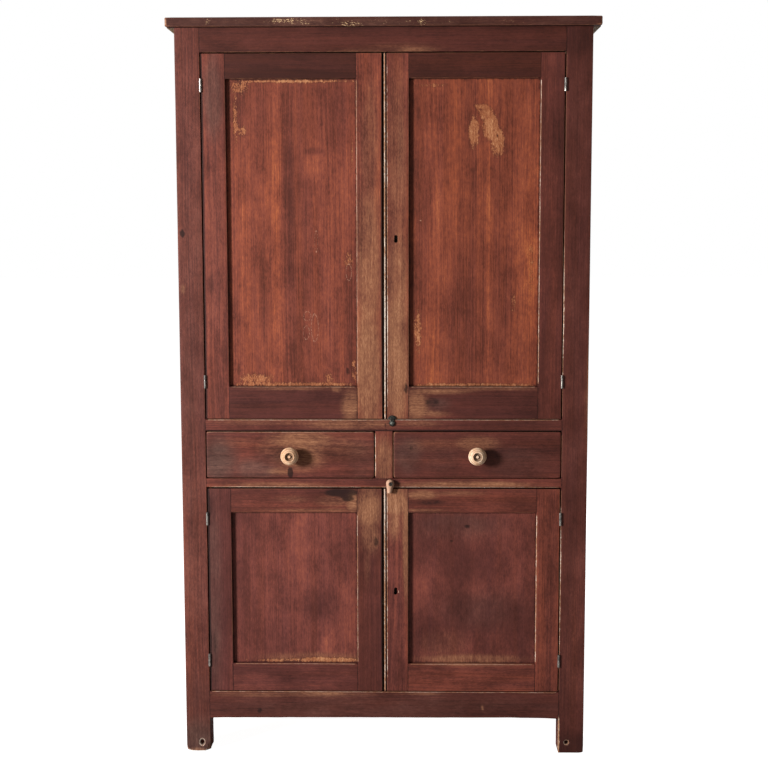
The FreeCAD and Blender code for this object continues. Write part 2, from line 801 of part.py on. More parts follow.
def door(tier, side):
    """One frame-and-panel door: stiles through, rails tenoned in, panel loose in its groove."""
    name = f"{tier}_{side}_door"
    out = OUTWARD[side]
    low, high = door_levels[tier]
    hinge_edge = (left_inner if side == "left" else right_inner) - out * door_side_gap
    meeting_edge = meeting_edges(tier)[side]
    hinge_inner = hinge_edge - out * hinge_stile_width
    meeting_inner = meeting_edge + out * meeting_stile_width[side]
    y = (front, front + door_thickness)
    panel_y = (front + panel_recess, front + panel_recess + panel_thickness)
    opening = (low + door_bottom_rail_height[tier], high - door_top_rail_height)

    panel, groove = panel_and_groove((hinge_inner, meeting_inner), panel_y, opening, thin=1)
    inner = sorted((hinge_inner, meeting_inner))
    tenons = (inner[0] - door_tenon_length, inner[1] + door_tenon_length)
    rails = [
        joined(block(inner, y, z),
               block(tenons, panel_y, (z[0] + tenon_shoulder, z[1] - tenon_shoulder)))
        for z in ((low, opening[0]), (opening[1], high))
    ]
    centres = hinge_centres(tier)
    hinge_stile = less(block((hinge_edge, hinge_inner), y, (low, high)),
                       rails + [groove] + [c for z in centres for c in hinge_cuts(side, z, 1)])

    meeting_stile = block((meeting_edge, meeting_inner), y, (low, high))
    if side == "right":
        meeting_stile = beaded(meeting_stile, meeting_edge)
        lock_cuts = [block(*lock_box(tier)), keyhole(tier)]
    else:
        lock_cuts = [bolt_mortise(tier)]
    meeting_stile = less(meeting_stile, rails + [groove] + lock_cuts)

    save(f"{name}_hinge_stile", hinge_stile)
    save(f"{name}_meeting_stile", meeting_stile)
    save(f"{name}_rails", *[less(rail, [groove]) for rail in rails])
    save(f"{name}_panel", panel)
    leaves = [hinge_leaf(side, z, 1) for z in centres]
    screws = [screw for z in centres for screw in leaf_screws(side, z, 1)]
    save(f"{name}_hinge_leaves", *leaves, *screws)


for tier in TIERS:
    for side in SIDES:
        door(tier, side)
    save(f"{tier}_lock_case", lock_case(tier))
    save(f"{tier}_lock_bolt", block(*bolt_spans(tier)))


# ================================================================ drawers
def knob(centre):
    """A turned knob: a foot, a waist, a round head with a cup and a pip in its top, and its shank."""
    profile = [
        (0, 0), (knob_foot_radius, 0), (knob_foot_radius, 4), (knob_neck_radius, 9),
        (knob_neck_radius, 13), (knob_radius - 3, 18), (knob_radius, 23), (knob_radius - 1.5, 28.5),
        (knob_radius - 5, knob_reach - 5), (knob_cup_radius, knob_reach),
        (knob_pip_radius, knob_reach - knob_cup_depth), (knob_pip_radius - 2, knob_reach - 3.5),
        (0, knob_reach - 3),
    ]
    points = [Vector(radius, 0, out) for radius, out in profile]
    outline = Part.makePolygon(points + points[:1])
    turned = Part.Face(outline).revolve(Vector(0, 0, 0), Z_AXIS, 360)
    turned.rotate(Vector(0, 0, 0), X_AXIS, 90)
    turned.translate(centre)
    shank = rod(centre, Y_AXIS, knob_shank_radius, drawer_front_thickness + 2)
    return joined(turned, shank)


def dovetails(x, y_shoulder, z):
    """The tails on the front end of a drawer side, from the shoulder towards -Y."""
    pitch = (z[1] - z[0] - dovetail_pin_width) / dovetail_count
    flare = dovetail_length * dovetail_slope
    tails = []
    for i in range(dovetail_count):
        low = z[0] + dovetail_pin_width + i * pitch
        high = low + pitch - dovetail_pin_width
        tip = y_shoulder - dovetail_length
        points = [Vector(x[0], y_shoulder, low), Vector(x[0], y_shoulder, high),
                  Vector(x[0], tip, high + flare), Vector(x[0], tip, low - flare)]
        face = Part.Face(Part.makePolygon(points + points[:1]))
        tails.append(face.extrude(Vector(x[1] - x[0], 0, 0)))
    return tails


def drawer(side):
    """One dovetailed drawer: front, two sides, a housed back and a bottom let into grooves."""
    name = f"{side}_drawer"
    x0, x1 = drawer_spans[side]
    low, high = drawer_bottom_edge, drawer_top_edge
    shoulder = front + drawer_front_thickness
    rear = back_rail_front - drawer_rear_gap
    side_z = (low, high - drawer_side_drop)
    bottom_z = (low + drawer_bottom_rise, low + drawer_bottom_rise + drawer_bottom_thickness)

    bottom = block((x0 + drawer_board - drawer_groove, x1 - drawer_board + drawer_groove),
                   (shoulder - drawer_groove, rear), bottom_z)
    back_y = (rear - 2 * drawer_board, rear - drawer_board)
    back_board = block((x0 + drawer_board - drawer_groove, x1 - drawer_board + drawer_groove),
                       back_y, (bottom_z[1], high - drawer_back_drop))
    sides = []
    tails = []
    for x in ((x0, x0 + drawer_board), (x1 - drawer_board, x1)):
        own_tails = dovetails(x, shoulder, side_z)
        tails += own_tails
        board = joined(block(x, (shoulder, rear), side_z), *own_tails)
        sides.append(less(board, [bottom, back_board]))

    centre_x = (x0 + x1) / 2
    centre_z = (low + high) / 2
    shank_hole = rod(Vector(centre_x, front, centre_z), Y_AXIS, knob_shank_radius + knob_shank_play,
                     drawer_front_thickness)
    front_board = less(block((x0, x1), (front, shoulder), (low, high)), tails + [bottom, shank_hole])

    save(f"{name}_front", front_board)
    save(f"{name}_sides", *sides)
    save(f"{name}_back", back_board)
    save(f"{name}_bottom", bottom)
    save(f"{name}_knob", knob(Vector(centre_x, front, centre_z)))


for side in SIDES:
    drawer(side)
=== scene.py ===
"""A country jelly cupboard in worn red-brown stain.

The boards are sawn as boxes, cut for their ironwork, and worn at their arrises. Each keeps notes on
its points, such as how far they are from an arris or how much a hand has rubbed them, and the
finishes read those notes.
"""

import math

import bmesh
import bpy
import numpy as np
from mathutils import Matrix, Vector, noise


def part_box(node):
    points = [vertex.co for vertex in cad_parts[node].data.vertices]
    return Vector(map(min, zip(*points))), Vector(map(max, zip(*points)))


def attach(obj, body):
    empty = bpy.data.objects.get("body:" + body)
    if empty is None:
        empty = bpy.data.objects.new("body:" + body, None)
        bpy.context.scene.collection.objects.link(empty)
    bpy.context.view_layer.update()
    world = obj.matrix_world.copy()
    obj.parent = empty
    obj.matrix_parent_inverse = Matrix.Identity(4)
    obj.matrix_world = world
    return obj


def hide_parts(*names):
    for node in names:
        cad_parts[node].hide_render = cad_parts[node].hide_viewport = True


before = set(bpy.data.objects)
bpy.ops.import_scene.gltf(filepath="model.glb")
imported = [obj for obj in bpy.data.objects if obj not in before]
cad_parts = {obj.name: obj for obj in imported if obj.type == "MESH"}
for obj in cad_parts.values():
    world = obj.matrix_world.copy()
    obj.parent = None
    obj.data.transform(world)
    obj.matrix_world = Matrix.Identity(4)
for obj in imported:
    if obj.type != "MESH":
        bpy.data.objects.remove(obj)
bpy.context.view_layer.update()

MM = 0.001
SIDES = ("left", "right")
TIERS = ("upper", "lower")


# ================================================================ places taken from the frame


def corners(node):
    low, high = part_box(node)
    return np.array(low, float), np.array(high, float)


def middle_of(box):
    """The middle of a box as seen from the front, as x and z."""
    return (box[0] + box[1])[[0, 2]] / 2


def merged_copy(node):
    """A bmesh copy of a CAD node, its loose triangles joined."""
    bm = bmesh.new()
    bm.from_mesh(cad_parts[node].data)
    bmesh.ops.remove_doubles(bm, verts=bm.verts, dist=0.01 * MM)
    return bm


def loose_boxes(node):
    """The box of each separate solid in a CAD node, in order along z, then x."""
    bm = merged_copy(node)
    seen = set()
    found = []
    for start in bm.verts:
        if start in seen:
            continue
        seen.add(start)
        queue = [start]
        group = []
        while queue:
            vert = queue.pop()
            group.append(tuple(vert.co))
            for edge in vert.link_edges:
                other = edge.other_vert(vert)
                if other not in seen:
                    seen.add(other)
                    queue.append(other)
        found.append((np.min(group, axis=0), np.max(group, axis=0)))
    bm.free()
    return sorted(found, key=lambda box: (round(box[0][2], 3), round(box[0][0], 3)))


def clipped(box, axis, low, high):
    """A box cut short along one axis, such as a rail without its tenons."""
    near, far = box[0].copy(), box[1].copy()
    near[axis] = max(near[axis], low)
    far[axis] = min(far[axis], high)
    return near, far


front = corners("post_front_left")[0][1]
inner_left = corners("post_front_left")[1][0]
inner_right = corners("post_front_right")[0][0]
front_post_back = corners("post_front_left")[1][1]
back_post_front = corners("post_back_left")[0][1]
under_rail = corners("front_bottom_rail")[0][2]


def clamped(values):
    """Values held between 0 and 1."""
    return np.clip(values, 0.0, 1.0)


# ================================================================ boards


class Board:
    """One sawn board: its box, the way its grain runs, its colour and its wear."""

    def __init__(self, box, along, tone, outward, rub=None, cool=0.5, step=6.0, wear=1.0,
                 shape=None, lines=(), figure=0.6, leaf=None):
        self.low, self.high = box
        self.along = along
        self.tone = tone                # 0 is the darkest stain, 1 the most orange
        self.cool = cool                # 0 is an orange brown, 1 a crimson brown
        self.outward = outward          # the faces that were stained, such as -y for the front
        self.rub = rub or {}            # how rubbed each arris of the front face is, 0 to 1
        self.step = step * MM
        self.wear = wear                # radius of its arrises, against a usual one
        self.shape = shape              # a last change to its points, if any
        self.lines = list(lines)        # extra cuts across it, as (axis, place)
        self.figure = figure            # how strongly its grain shows, against its clouds
        self.leaf = leaf                # the box of the door or drawer that it is part of
        if leaf is not None:
            self.lines.append((1, front + GAP_LINE))


ARRIS_CUT = 0.8 * MM
CLEAR = 1 * MM                          # how far a cutter stands out of the wood
# From this line back, the edges of doors and drawers take painted shade.
GAP_LINE = 2.2 * MM                     # behind the front, where the dark of a gap has begun
TIGHT = 0.22 * MM                       # radius left on an arris inside a joint
ROUNDEST = 14 * MM                      # the largest radius that an arris is worn to
FAR = 30.0                              # mm, further from an arris than any wear reaches
# Marks are wear, dirt and tone, and some are painted shade and highlights.
MARK_REACH = 14 * MM                    # how far behind the front a mark of use shows
STAIN_REACH = 17 * MM                   # how far behind the front the stain ran


def box_mesh(low, high):
    low, high = np.array(low), np.array(high)
    bm = bmesh.new()
    bmesh.ops.create_cube(bm, size=1.0)
    bmesh.ops.scale(bm, vec=Vector(high - low), verts=bm.verts)
    bmesh.ops.translate(bm, vec=Vector((low + high) / 2), verts=bm.verts)
    return bm


def slice_at(bm, axis, place):
    """Cuts every face along a plane, so that points lie on it."""
    normal = Vector([1.0 if i == axis else 0.0 for i in range(3)])
    bmesh.ops.bisect_plane(bm, geom=bm.verts[:] + bm.edges[:] + bm.faces[:], dist=1e-6,
                           plane_co=normal * place, plane_no=normal)


def sawn_box(board):
    """A box with small bevels on every edge, its faces in squares of about one step."""
    bm = box_mesh(board.low, board.high)
    bmesh.ops.bevel(bm, geom=bm.edges[:], offset=ARRIS_CUT, segments=2, profile=0.5,
                    affect="EDGES", material=-1)
    for axis in range(3):
        lines = []
        for edge in bm.edges:
            run = edge.verts[1].co - edge.verts[0].co
            if abs(run[axis]) > 0.99 * run.length and run.length > 3 * ARRIS_CUT:
                lines.append(edge)
        length = board.high[axis] - board.low[axis]
        cuts = round(length / board.step) - 1
        if cuts > 0:
            bmesh.ops.subdivide_edges(bm, edges=lines, cuts=cuts)
    for axis, place in board.lines:
        slice_at(bm, axis, place)
    return bm


def mesh_of(bm, name):
    mesh = bpy.data.meshes.new(name)
    bm.to_mesh(mesh)
    bm.free()
    return mesh


def placed(mesh, name):
    made = bpy.data.objects.new(name, mesh)
    bpy.context.scene.collection.objects.link(made)
    return made


def box_cut(low, high, room=0.0):
    """A box-shaped cut, as the space that it takes and what makes its cutter."""
    space = (np.array(low) - room, np.array(high) + room)
    return space, lambda: box_mesh(*space)


def rod_cutter(centre, radius, length, taper=1.0, tall=1.0):
    """A round cutter along Y, its near end at centre."""
    bm = bmesh.new()
    bmesh.ops.create_cone(bm, cap_ends=True, segments=32, radius1=radius, radius2=radius * taper,
                          depth=length)
    bmesh.ops.scale(bm, vec=(1.0, tall, 1.0), verts=bm.verts)
    bmesh.ops.rotate(bm, matrix=Matrix.Rotation(math.radians(-90), 3, "X"), verts=bm.verts)
    bmesh.ops.translate(bm, vec=Vector(centre) + Vector((0, length / 2, 0)), verts=bm.verts)
    return bm


def turned_cutter(size, turn, centre):
    """A box cutter turned about Y through its middle, by degrees."""
    half = Vector(size) / 2
    bm = box_mesh(-half, half)
    bmesh.ops.rotate(bm, matrix=Matrix.Rotation(math.radians(turn), 3, "Y"), verts=bm.verts)
    bmesh.ops.translate(bm, vec=centre, verts=bm.verts)
    return bm


def cut_away(mesh, cutters):
    """The mesh with each cutter's space taken out of it."""
    board = placed(mesh, "board")
    tools = [placed(mesh_of(bm, "cutter"), "cutter") for bm in cutters]
    for tool in tools:
        cut = board.modifiers.new("cut", "BOOLEAN")
        cut.operation = "DIFFERENCE"
        cut.solver = "EXACT"
        cut.object = tool
    seen = board.evaluated_get(bpy.context.evaluated_depsgraph_get())
    result = bpy.data.meshes.new_from_object(seen)
    for spare in [board, *tools]:
        bpy.data.objects.remove(spare)
    return result


def points_of(mesh):
    flat = np.empty(len(mesh.vertices) * 3, np.float32)
    mesh.vertices.foreach_get("co", flat)
    return flat.reshape(-1, 3).astype(float)


def move_points(mesh, points):
    mesh.vertices.foreach_set("co", points.astype(np.float32).ravel())
    mesh.update()


def wander(points, scale, seed):
    """Smooth noise from about -1 to 1 at each point, one bump to about 1 / scale metres."""
    shift = Vector((seed * 3.71, seed * 1.93, seed * 5.27))
    return np.array([noise.noise(Vector(p) * scale + shift) for p in points])


def distance_to_box(points, box):
    outside = np.maximum(np.maximum(box[0] - points, points - box[1]), 0.0)
    return np.linalg.norm(outside, axis=1)


def jointed(points, neighbours):
    """1 where a point is against a neighbouring board, 0 from 5 mm away."""
    nearest = np.full(len(points), 1.0)
    for box in neighbours:
        nearest = np.minimum(nearest, distance_to_box(points, box))
    return clamped((5 * MM - nearest) / (4 * MM))


def outward_normals(points, board):
    """Which way each point of the box faces, level at faces and slanted on arrises."""
    inside = np.clip(points, board.low + ARRIS_CUT, board.high - ARRIS_CUT)
    away = points - inside
    length = np.linalg.norm(away, axis=1)
    on_skin = length > 0.3 * ARRIS_CUT
    away[on_skin] /= length[on_skin, None]
    return away, on_skin


def arris_notes(points, board, neighbours):
    """For each point: mm to the nearest free arris, how rubbed that arris is, and mm to the
    nearest joint."""
    free = np.full(len(points), FAR)
    seam = np.full(len(points), FAR)
    rubbed = np.zeros(len(points))
    for axis in range(3):
        one, two = [i for i in range(3) if i != axis]
        for first, second in ((0, 0), (0, 1), (1, 0), (1, 1)):
            foot = points.copy()
            foot[:, one] = (board.low, board.high)[first][one]
            foot[:, two] = (board.low, board.high)[second][two]
            faces = {"-+"[first] + "xyz"[one], "-+"[second] + "xyz"[two]}
            strength = board.rub.get((faces - {"-y"}).pop(), 0.25) if "-y" in faces else 0.25
            far = np.linalg.norm(points - foot, axis=1) / MM
            closed = jointed(foot, neighbours)
            rubbed = np.where(far + FAR * closed < free, strength, rubbed)
            free = np.minimum(free, far + FAR * closed)
            seam = np.minimum(seam, far + FAR * (1 - closed))
    return free, rubbed, seam


def worn_radius(points, board, neighbours, rubbed, rounding, seed):
    """The radius of the arris near each point."""
    usual = 1.0 + 0.4 * wander(points, 22, seed) + 0.25 * wander(points, 70, seed + 9)
    radius = usual * board.wear * (0.4 + 0.7 * rubbed) + rounding
    free = 1.0 - jointed(points, neighbours)
    return np.clip(radius * free * MM, TIGHT, ROUNDEST)


def weathered(points, board, neighbours, rubbed, rounding, seed):
    """The points after the arrises are worn round and the faces have moved a little."""
    normal, on_skin = outward_normals(points, board)
    radius = worn_radius(points, board, neighbours, rubbed, rounding, seed)[:, None]
    rounded = np.clip(points, board.low + radius, board.high - radius) + normal * radius
    hollow = 0.16 * MM * (1.0 + wander(points, 6, seed + 3))
    rounded -= normal * hollow[:, None]
    return np.where(on_skin[:, None], rounded, points)


# ---------------------------------------------------------------- marks of use, and of painted shade and highlights
# By piece and kind: x, z, half width and half height in mm, and strength.
MARKS = {
    "post_front_left": dict(
        dirt=[(-506, 1351, 6, 10, 1.2)], bare=[(-507, 1211, 6, 13, 0.6), (-488, 2, 26, 5, 1)],
        light=[(-490, 1500, 40, 400, 0.04)], round=[(-457, 2, 10, 16, 10), (-518, 2, 10, 10, 6)],
        dark=[(-488, 20, 50, 60, 0.24), (-488, 110, 50, 90, 0.1), (-488, 1100, 60, 360, 0.04)],
        grey=[(-488, 30, 60, 80, 0.5), (-488, 900, 60, 1400, 0.28), (-470, 1690, 20, 60, 0.3)],
        # The hole mark paints the shade inside the old fixing hole; the pale mark is its worn rim.
        pale=[(-478, 24.1, 8, 10.4, 1)], hole=[(-478, 24.1, 9, 10, 0.8)]),
    "post_front_right": dict(
        # The pale strips at x 453 are the worn inner arris and, on the front of the post's inner face, a
        # painted highlight where the lamp lights it.
        round=[(518, 4, 8, 8, 3)], pale=[(453, 45, 4, 60, 0.8), (453, 433, 1.2, 265, 0.64),
        (453, 1150, 1.4, 260, 0.6), (474.5, 27.7, 8, 8, 0.8)], dark=[(485, 1840, 60, 50, 0.1),
        (485, 10, 50, 40, 0.14)], grey=[(485, 900, 60, 1400, 0.16)], bare=[(517, 950, 5, 150, 0.5)],
        # The hole mark paints the shade inside the old fixing hole.
        light=[(470, 1250, 20, 300, 0.03), (485, 400, 50, 240, 0.05)], hole=[(474.5, 27.7, 9, 9, 0.8)]),
    "top_board": dict(
        fleck=[(-430, 1868, 14, 9, 0.5), (-235, 1870, 54, 9, 0.6), (-190, 1864, 16, 6, 0.6),
        (-78, 1861, 44, 4, 0.66), (98, 1866, 14, 10, 0.56), (0, 1868, 540, 9, 0.32)],
        bare=[(-538, 1868, 5, 10, 0.8), (0, 1868, 540, 14, 0.18)], grey=[(0, 1868, 900, 30, 0.3)],
        round=[(-538, 1868, 14, 14, 3), (538, 1868, 20, 14, 4)], light=[(400, 1868, 160, 14, 0.03)],
        dark=[(-360, 1868, 200, 12, 0.03)]),
    "front_top_rail": dict(
        bare=[(80, 1802, 60, 7, 0.4), (40, 1808, 110, 12, 0.24), (-60, 1800, 80, 5, 0.3)]),
    "front_bottom_rail": dict(
        bare=[(-180, 158, 120, 7, 0.5), (-240, 154, 260, 8, 0.36), (256, 120, 3, 8, 0.9),
        (100, 158, 60, 5, 0.4)], dirt=[(-326, 111, 9, 9, 0.8)], grey=[(0, 120, 500, 40, 0.3)],
        dark=[(250, 128, 160, 30, 0.05)]),
    "upper_drawer_rail": dict(
        bare=[(-90, 866, 120, 14, 0.6), (90, 868, 60, 8, 0.4), (-300, 870, 150, 8, 0.4)],
        # The long dark mark at z 849.2 is painted shade in the gap above the drawers.
        dirt=[(3, 862, 4, 9, 0.7), (20.8, 869, 7, 7, 1), (0, 849.2, 900, 1.7, 1.3)],
        dark=[(300, 860, 200, 20, 0.07)]),
    "lower_drawer_rail": dict(
        bare=[(206, 710, 170, 10, 0.72), (-280, 708, 140, 9, 0.55)], dirt=[(30, 716, 16, 10, 0.6)],
        dark=[(-20, 716, 30, 10, 0.08)]),
    "drawer_muntin": dict(bare=[(0, 775, 24, 62, 0.58)], dark=[(-10, 735, 14, 12, 0.12)]),
    "upper_left_door_hinge_stile": dict(
        dark=[(-422, 1690, 34, 150, 0.1), (-436, 1225, 9, 26, 0.16), (-430, 920, 28, 60, 0.1)],
        # The dark mark at x -453.5 is painted shade along the door's edge beside the post.
        dirt=[(-453.5, 1337, 2.6, 700, 1.1)], grey=[(-424, 1690, 26, 110, 0.5), (-424, 1200, 26, 500, 0.2)],
        light=[(-418, 1330, 20, 260, 0.05)]),
    "upper_left_door_meeting_stile": dict(
        bare=[(-34, 1560, 26, 190, 0.42), (-36, 1268, 36, 230, 0.57), (-39, 996, 36, 190, 0.74)],
        # The dark mark at x -3.4 is painted shade in the gap between the doors.
        dirt=[(-60, 1440, 7, 60, 0.5), (-3.4, 1336, 2.2, 560, 1.4), (-44, 1405, 16, 20, 0.42),
        (-56, 1290, 8, 26, 0.42)], dark=[(-62, 1350, 6, 160, 0.1)]),
    "upper_left_door_rails": dict(
        bare=[(-84, 916, 24, 44, 0.6), (-230, 958, 120, 5, 0.4), (-120, 956, 14, 8, 0.6)],
        dark=[(-230, 1742, 170, 12, 0.06)]),
    "upper_left_door_panel": dict(
        flake=[(-223, 1727, 170, 5, 0.66), (-360, 1714, 24, 20, 0.6), (-370, 1640, 7, 70, 0.56),
        (-354, 1604, 14, 16, 0.5), (-231, 967, 170, 7, 0.72), (-325, 982, 44, 16, 0.62),
        (-89, 1283, 13, 26, 0.46), (-76, 1005, 8, 38, 0.55), (-140, 982, 12, 22, 0.46),
        (-80, 1560, 4, 60, 0.4)], bare=[(-223, 1728, 160, 4, 0.4)], light=[(-268, 1330, 12, 700, 0.13),
        (-352, 1300, 16, 220, 0.08), (-140, 1420, 24, 260, 0.06)], dark=[(-223, 1670, 170, 70, 0.1),
        (-226, 1480, 26, 150, 0.14), (-212, 1250, 26, 300, 0.06), (-178, 1555, 28, 8, 0.16),
        (-306, 1190, 7, 100, 0.12), (-84, 1120, 14, 160, 0.12), (-100, 1660, 20, 60, 0.1)],
        dirt=[(-92, 1002, 7, 12, 0.7), (-370, 1005, 6, 26, 0.6)]),
    "upper_right_door_meeting_stile": dict(
        # The pale strip on the bead and the one right of the quirk are worn bare wood and, facing the lamp,
        # painted highlight too; the dark marks along the quirk and on the bead's left side paint the shade
        # in the quirk and in the gap between the doors, and at the keyhole the dark and hole marks paint
        # the shade inside it and darken the face round it.
        pale=[(3.6, 1336, 1.5, 560, 1.1), (9.8, 1336, 1, 560, 0.75)], dirt=[(7, 1336, 1.2, 560, 1.6),
        (0.6, 1336, 1.3, 560, 1.6), (52, 1262, 9, 40, 0.42), (56, 958, 7, 16, 0.8),
        (30.8, 1336, 4.6, 8, 1.2)], bare=[(34, 1500, 28, 300, 0.42), (34, 1240, 28, 170, 0.56),
        (33, 1030, 32, 210, 0.76)], hole=[(30.8, 1336.2, 8, 13, 2)], dark=[(44, 1560, 9, 70, 0.1)]),
    "upper_right_door_rails": dict(
        bare=[(84, 912, 30, 40, 0.6), (120, 893, 50, 10, 0.42), (130, 951, 90, 7, 0.55),
        (280, 958, 140, 5, 0.4)], grey=[(140, 918, 30, 16, 0.4)], dirt=[(122, 922, 24, 16, 0.55)],
        light=[(130, 885, 50, 8, 0.1)]),
    "upper_right_door_panel": dict(
        flake=[(225, 1602, 14, 42, 0.78), (254, 1648, 16, 22, 0.84), (268, 1614, 19, 34, 0.96),
        (286, 1578, 17, 38, 0.88), (243, 1664, 20, 8, 0.7), (86, 1110, 10, 64, 0.52),
        (231, 965, 170, 5, 0.75), (327, 1170, 7, 34, 0.5), (118, 1716, 50, 5, 0.5),
        (372, 1260, 4, 80, 0.4)], dark=[(240, 1592, 5, 30, 0.1), (215, 1110, 44, 200, 0.1),
        (290, 1180, 24, 200, 0.07), (100, 1400, 20, 300, 0.06)], light=[(262, 1400, 8, 900, 0.14),
        (240, 1400, 6, 700, 0.08), (356, 1290, 30, 300, 0.14), (372, 1330, 12, 160, 0.16),
        (125, 1350, 24, 500, 0.06)], pale=[(93, 1381, 5, 5, 0.6)], dirt=[(284, 1592, 4, 6, 0.8)]),
    "lower_left_door_hinge_stile": dict(
        # The dark mark at x -453.5 is painted shade along the door's edge beside the post.
        dirt=[(-446, 655, 7, 36, 0.62), (-453.5, 433, 2.6, 500, 1.1), (-441, 290, 6, 34, 0.5)],
        dark=[(-438, 560, 10, 170, 0.06), (-440, 300, 12, 140, 0.1), (-418, 440, 50, 240, 0.04)],
        grey=[(-440, 433, 22, 300, 0.4)]),
    "lower_left_door_meeting_stile": dict(
        bare=[(-40, 650, 34, 54, 0.8), (-36, 575, 26, 50, 0.5), (-44, 500, 10, 60, 0.3)],
        # The dark mark at x -5 is painted shade in the gap between the doors.
        dirt=[(-5, 433, 2.2, 320, 1.4), (-22, 562, 8, 16, 0.65)]),
    "lower_left_door_rails": dict(
        dirt=[(-112, 689, 44, 11, 1.1), (-94, 675, 18, 10, 0.8)], bare=[(-130, 668, 50, 16, 0.45),
        (-82, 664, 16, 30, 0.7), (-180, 642, 180, 4, 0.5), (-240, 672, 50, 10, 0.35)],
        light=[(-300, 668, 60, 20, 0.06)]),
    "lower_left_door_panel": dict(
        flake=[(-150, 244, 110, 8, 0.74), (-270, 243, 80, 6, 0.56)], bare=[(-180, 250, 150, 16, 0.45)],
        dark=[(-370, 450, 50, 220, 0.09), (-150, 390, 60, 40, 0.1), (-370, 600, 40, 80, 0.08),
        (-290, 300, 60, 60, 0.07)], light=[(-140, 290, 20, 44, 0.14), (-230, 560, 60, 130, 0.06),
        (-110, 360, 40, 100, 0.08), (-340, 420, 10, 120, 0.06)], dirt=[(-170, 585, 4, 16, 0.6)]),
    "lower_right_door_meeting_stile": dict(
        # The pale strips on the bead and right of the quirk are worn bare wood and painted highlight; the
        # dark marks along the quirk and on the bead's left side paint the shade in the quirk and in the gap
        # between the doors, and at the keyhole the dark and hole marks paint the shade inside it and darken
        # the face round it.
        pale=[(2, 433, 1.4, 330, 1), (8.2, 433, 1, 330, 0.75), (35.8, 430, 1.4, 9, 0.62)],
        dirt=[(5.4, 433, 1.2, 330, 1.6), (-1, 433, 1.3, 330, 1.6), (29.2, 431, 4.6, 8, 1.2)],
        hole=[(29.2, 431.2, 8, 13, 2)], bare=[(28, 668, 32, 40, 0.85), (24, 610, 20, 50, 0.5),
        (56, 560, 7, 150, 0.95)], light=[(55, 400, 6, 160, 0.12)], dark=[(30, 230, 30, 60, 0.08)]),
    "lower_right_door_rails": dict(
        bare=[(96, 684, 44, 13, 0.62), (190, 688, 70, 8, 0.4), (100, 643, 60, 5, 0.55),
        (220, 236, 150, 5, 0.5)], dirt=[(118, 664, 50, 10, 0.6)]),
    "lower_right_door_panel": dict(
        dark=[(206, 505, 64, 48, 0.1), (246, 372, 90, 56, 0.09), (180, 612, 120, 22, 0.09),
        (92, 540, 26, 60, 0.07), (100, 330, 40, 60, 0.05), (360, 330, 40, 90, 0.05)],
        light=[(108, 452, 28, 42, 0.05), (246, 430, 40, 22, 0.07), (335, 520, 44, 100, 0.06)],
        bare=[(228, 248, 150, 14, 0.5), (150, 290, 70, 40, 0.24)], grey=[(180, 600, 130, 40, 0.3),
        (250, 380, 120, 60, 0.25)], dirt=[(213, 600, 9, 5, 0.7), (173, 561, 5, 5, 0.9)]),
    "left_drawer_front": dict(
        round=[(-454, 728, 6, 6, 1.6), (-454, 847, 6, 6, 1.6), (-25, 728, 6, 6, 2), (-25, 847, 6, 6, 2.4)],
        bare=[(-215, 822, 86, 24, 0.8), (-215, 790, 70, 44, 0.66), (-292, 812, 40, 26, 0.4),
        (-110, 804, 80, 34, 0.36), (-268, 744, 34, 10, 0.6), (-360, 820, 60, 14, 0.25)],
        grey=[(-420, 770, 46, 60, 0.6), (-330, 750, 60, 30, 0.5), (-300, 780, 40, 16, 0.3),
        (-60, 770, 40, 50, 0.35)], dirt=[(-240, 742, 7, 14, 1.2)], dark=[(-432, 787, 26, 60, 0.12),
        (-268, 782, 16, 16, 0.1)], light=[(-330, 800, 50, 30, 0.05)]),
    "right_drawer_front": dict(
        round=[(25, 728, 6, 6, 1.6), (25, 847, 6, 6, 2.4), (450, 728, 6, 6, 2), (450, 845, 6, 6, 1.6)],
        bare=[(236, 816, 60, 20, 0.5), (130, 812, 80, 22, 0.26), (80, 812, 24, 20, 0.3)],
        grey=[(60, 790, 40, 50, 0.4), (150, 770, 50, 30, 0.3), (340, 770, 80, 40, 0.35)],
        dark=[(60, 770, 40, 50, 0.08), (300, 770, 60, 40, 0.06)], dirt=[(70, 805, 5, 14, 0.6)]),
}


def painted(points, node, kind):
    """How strongly each point is marked by the soft oval marks of one kind on its piece."""
    total = np.zeros(len(points))
    for x, z, half_width, half_height, strength in MARKS.get(node, {}).get(kind, ()):
        across = (points[:, 0] / MM - x) / half_width
        up = (points[:, 2] / MM - z) / half_height
        reach = np.sqrt(across ** 2 + up ** 2)
        total = np.maximum(total, strength * clamped((1.45 - reach) / 0.9))
    return total * clamped((front + MARK_REACH - points[:, 1]) / (3 * MM))


def write(mesh, name, values, kind="FLOAT"):
    layer = mesh.attributes.new(name, kind, "POINT")
    layer.data.foreach_set("value" if kind == "FLOAT" else "vector",
                           np.asarray(values, np.float32).ravel())


def grain_places(points, board, seed):
    """Each point as metres along, across and through the tree, from a pith beside the board."""
    size = board.high - board.low
    across, through = sorted((i for i in range(3) if i != board.along), key=lambda i: -size[i])
    spread = math.sin(seed * 12.9898) * 0.45
    depth = 0.035 + 0.03 * math.sin(seed * 4.1) ** 2
    pith = (board.low + board.high) / 2
    return np.stack([points[:, board.along] + seed * 7.3,
                     points[:, across] - pith[across] + spread * size[across],
                     points[:, through] - pith[through] + depth], axis=1)


def edge_distance(points, leaf):
    """How far each point is from the outer edges of its door or drawer front, in mm."""
    return np.minimum(points - leaf[0], leaf[1] - points)[:, [0, 2]].min(axis=1) / MM


def gap_shade(points, leaf):
    """Painted shade in the gaps: 1 on the outer edges of a door or drawer front, from 2 mm behind its face.
    """
    if leaf is None:
        return np.zeros(len(points))
    behind = (points[:, 1] - front) / MM
    return clamped(behind - 1.1) * clamped(1.5 - edge_distance(points, leaf))


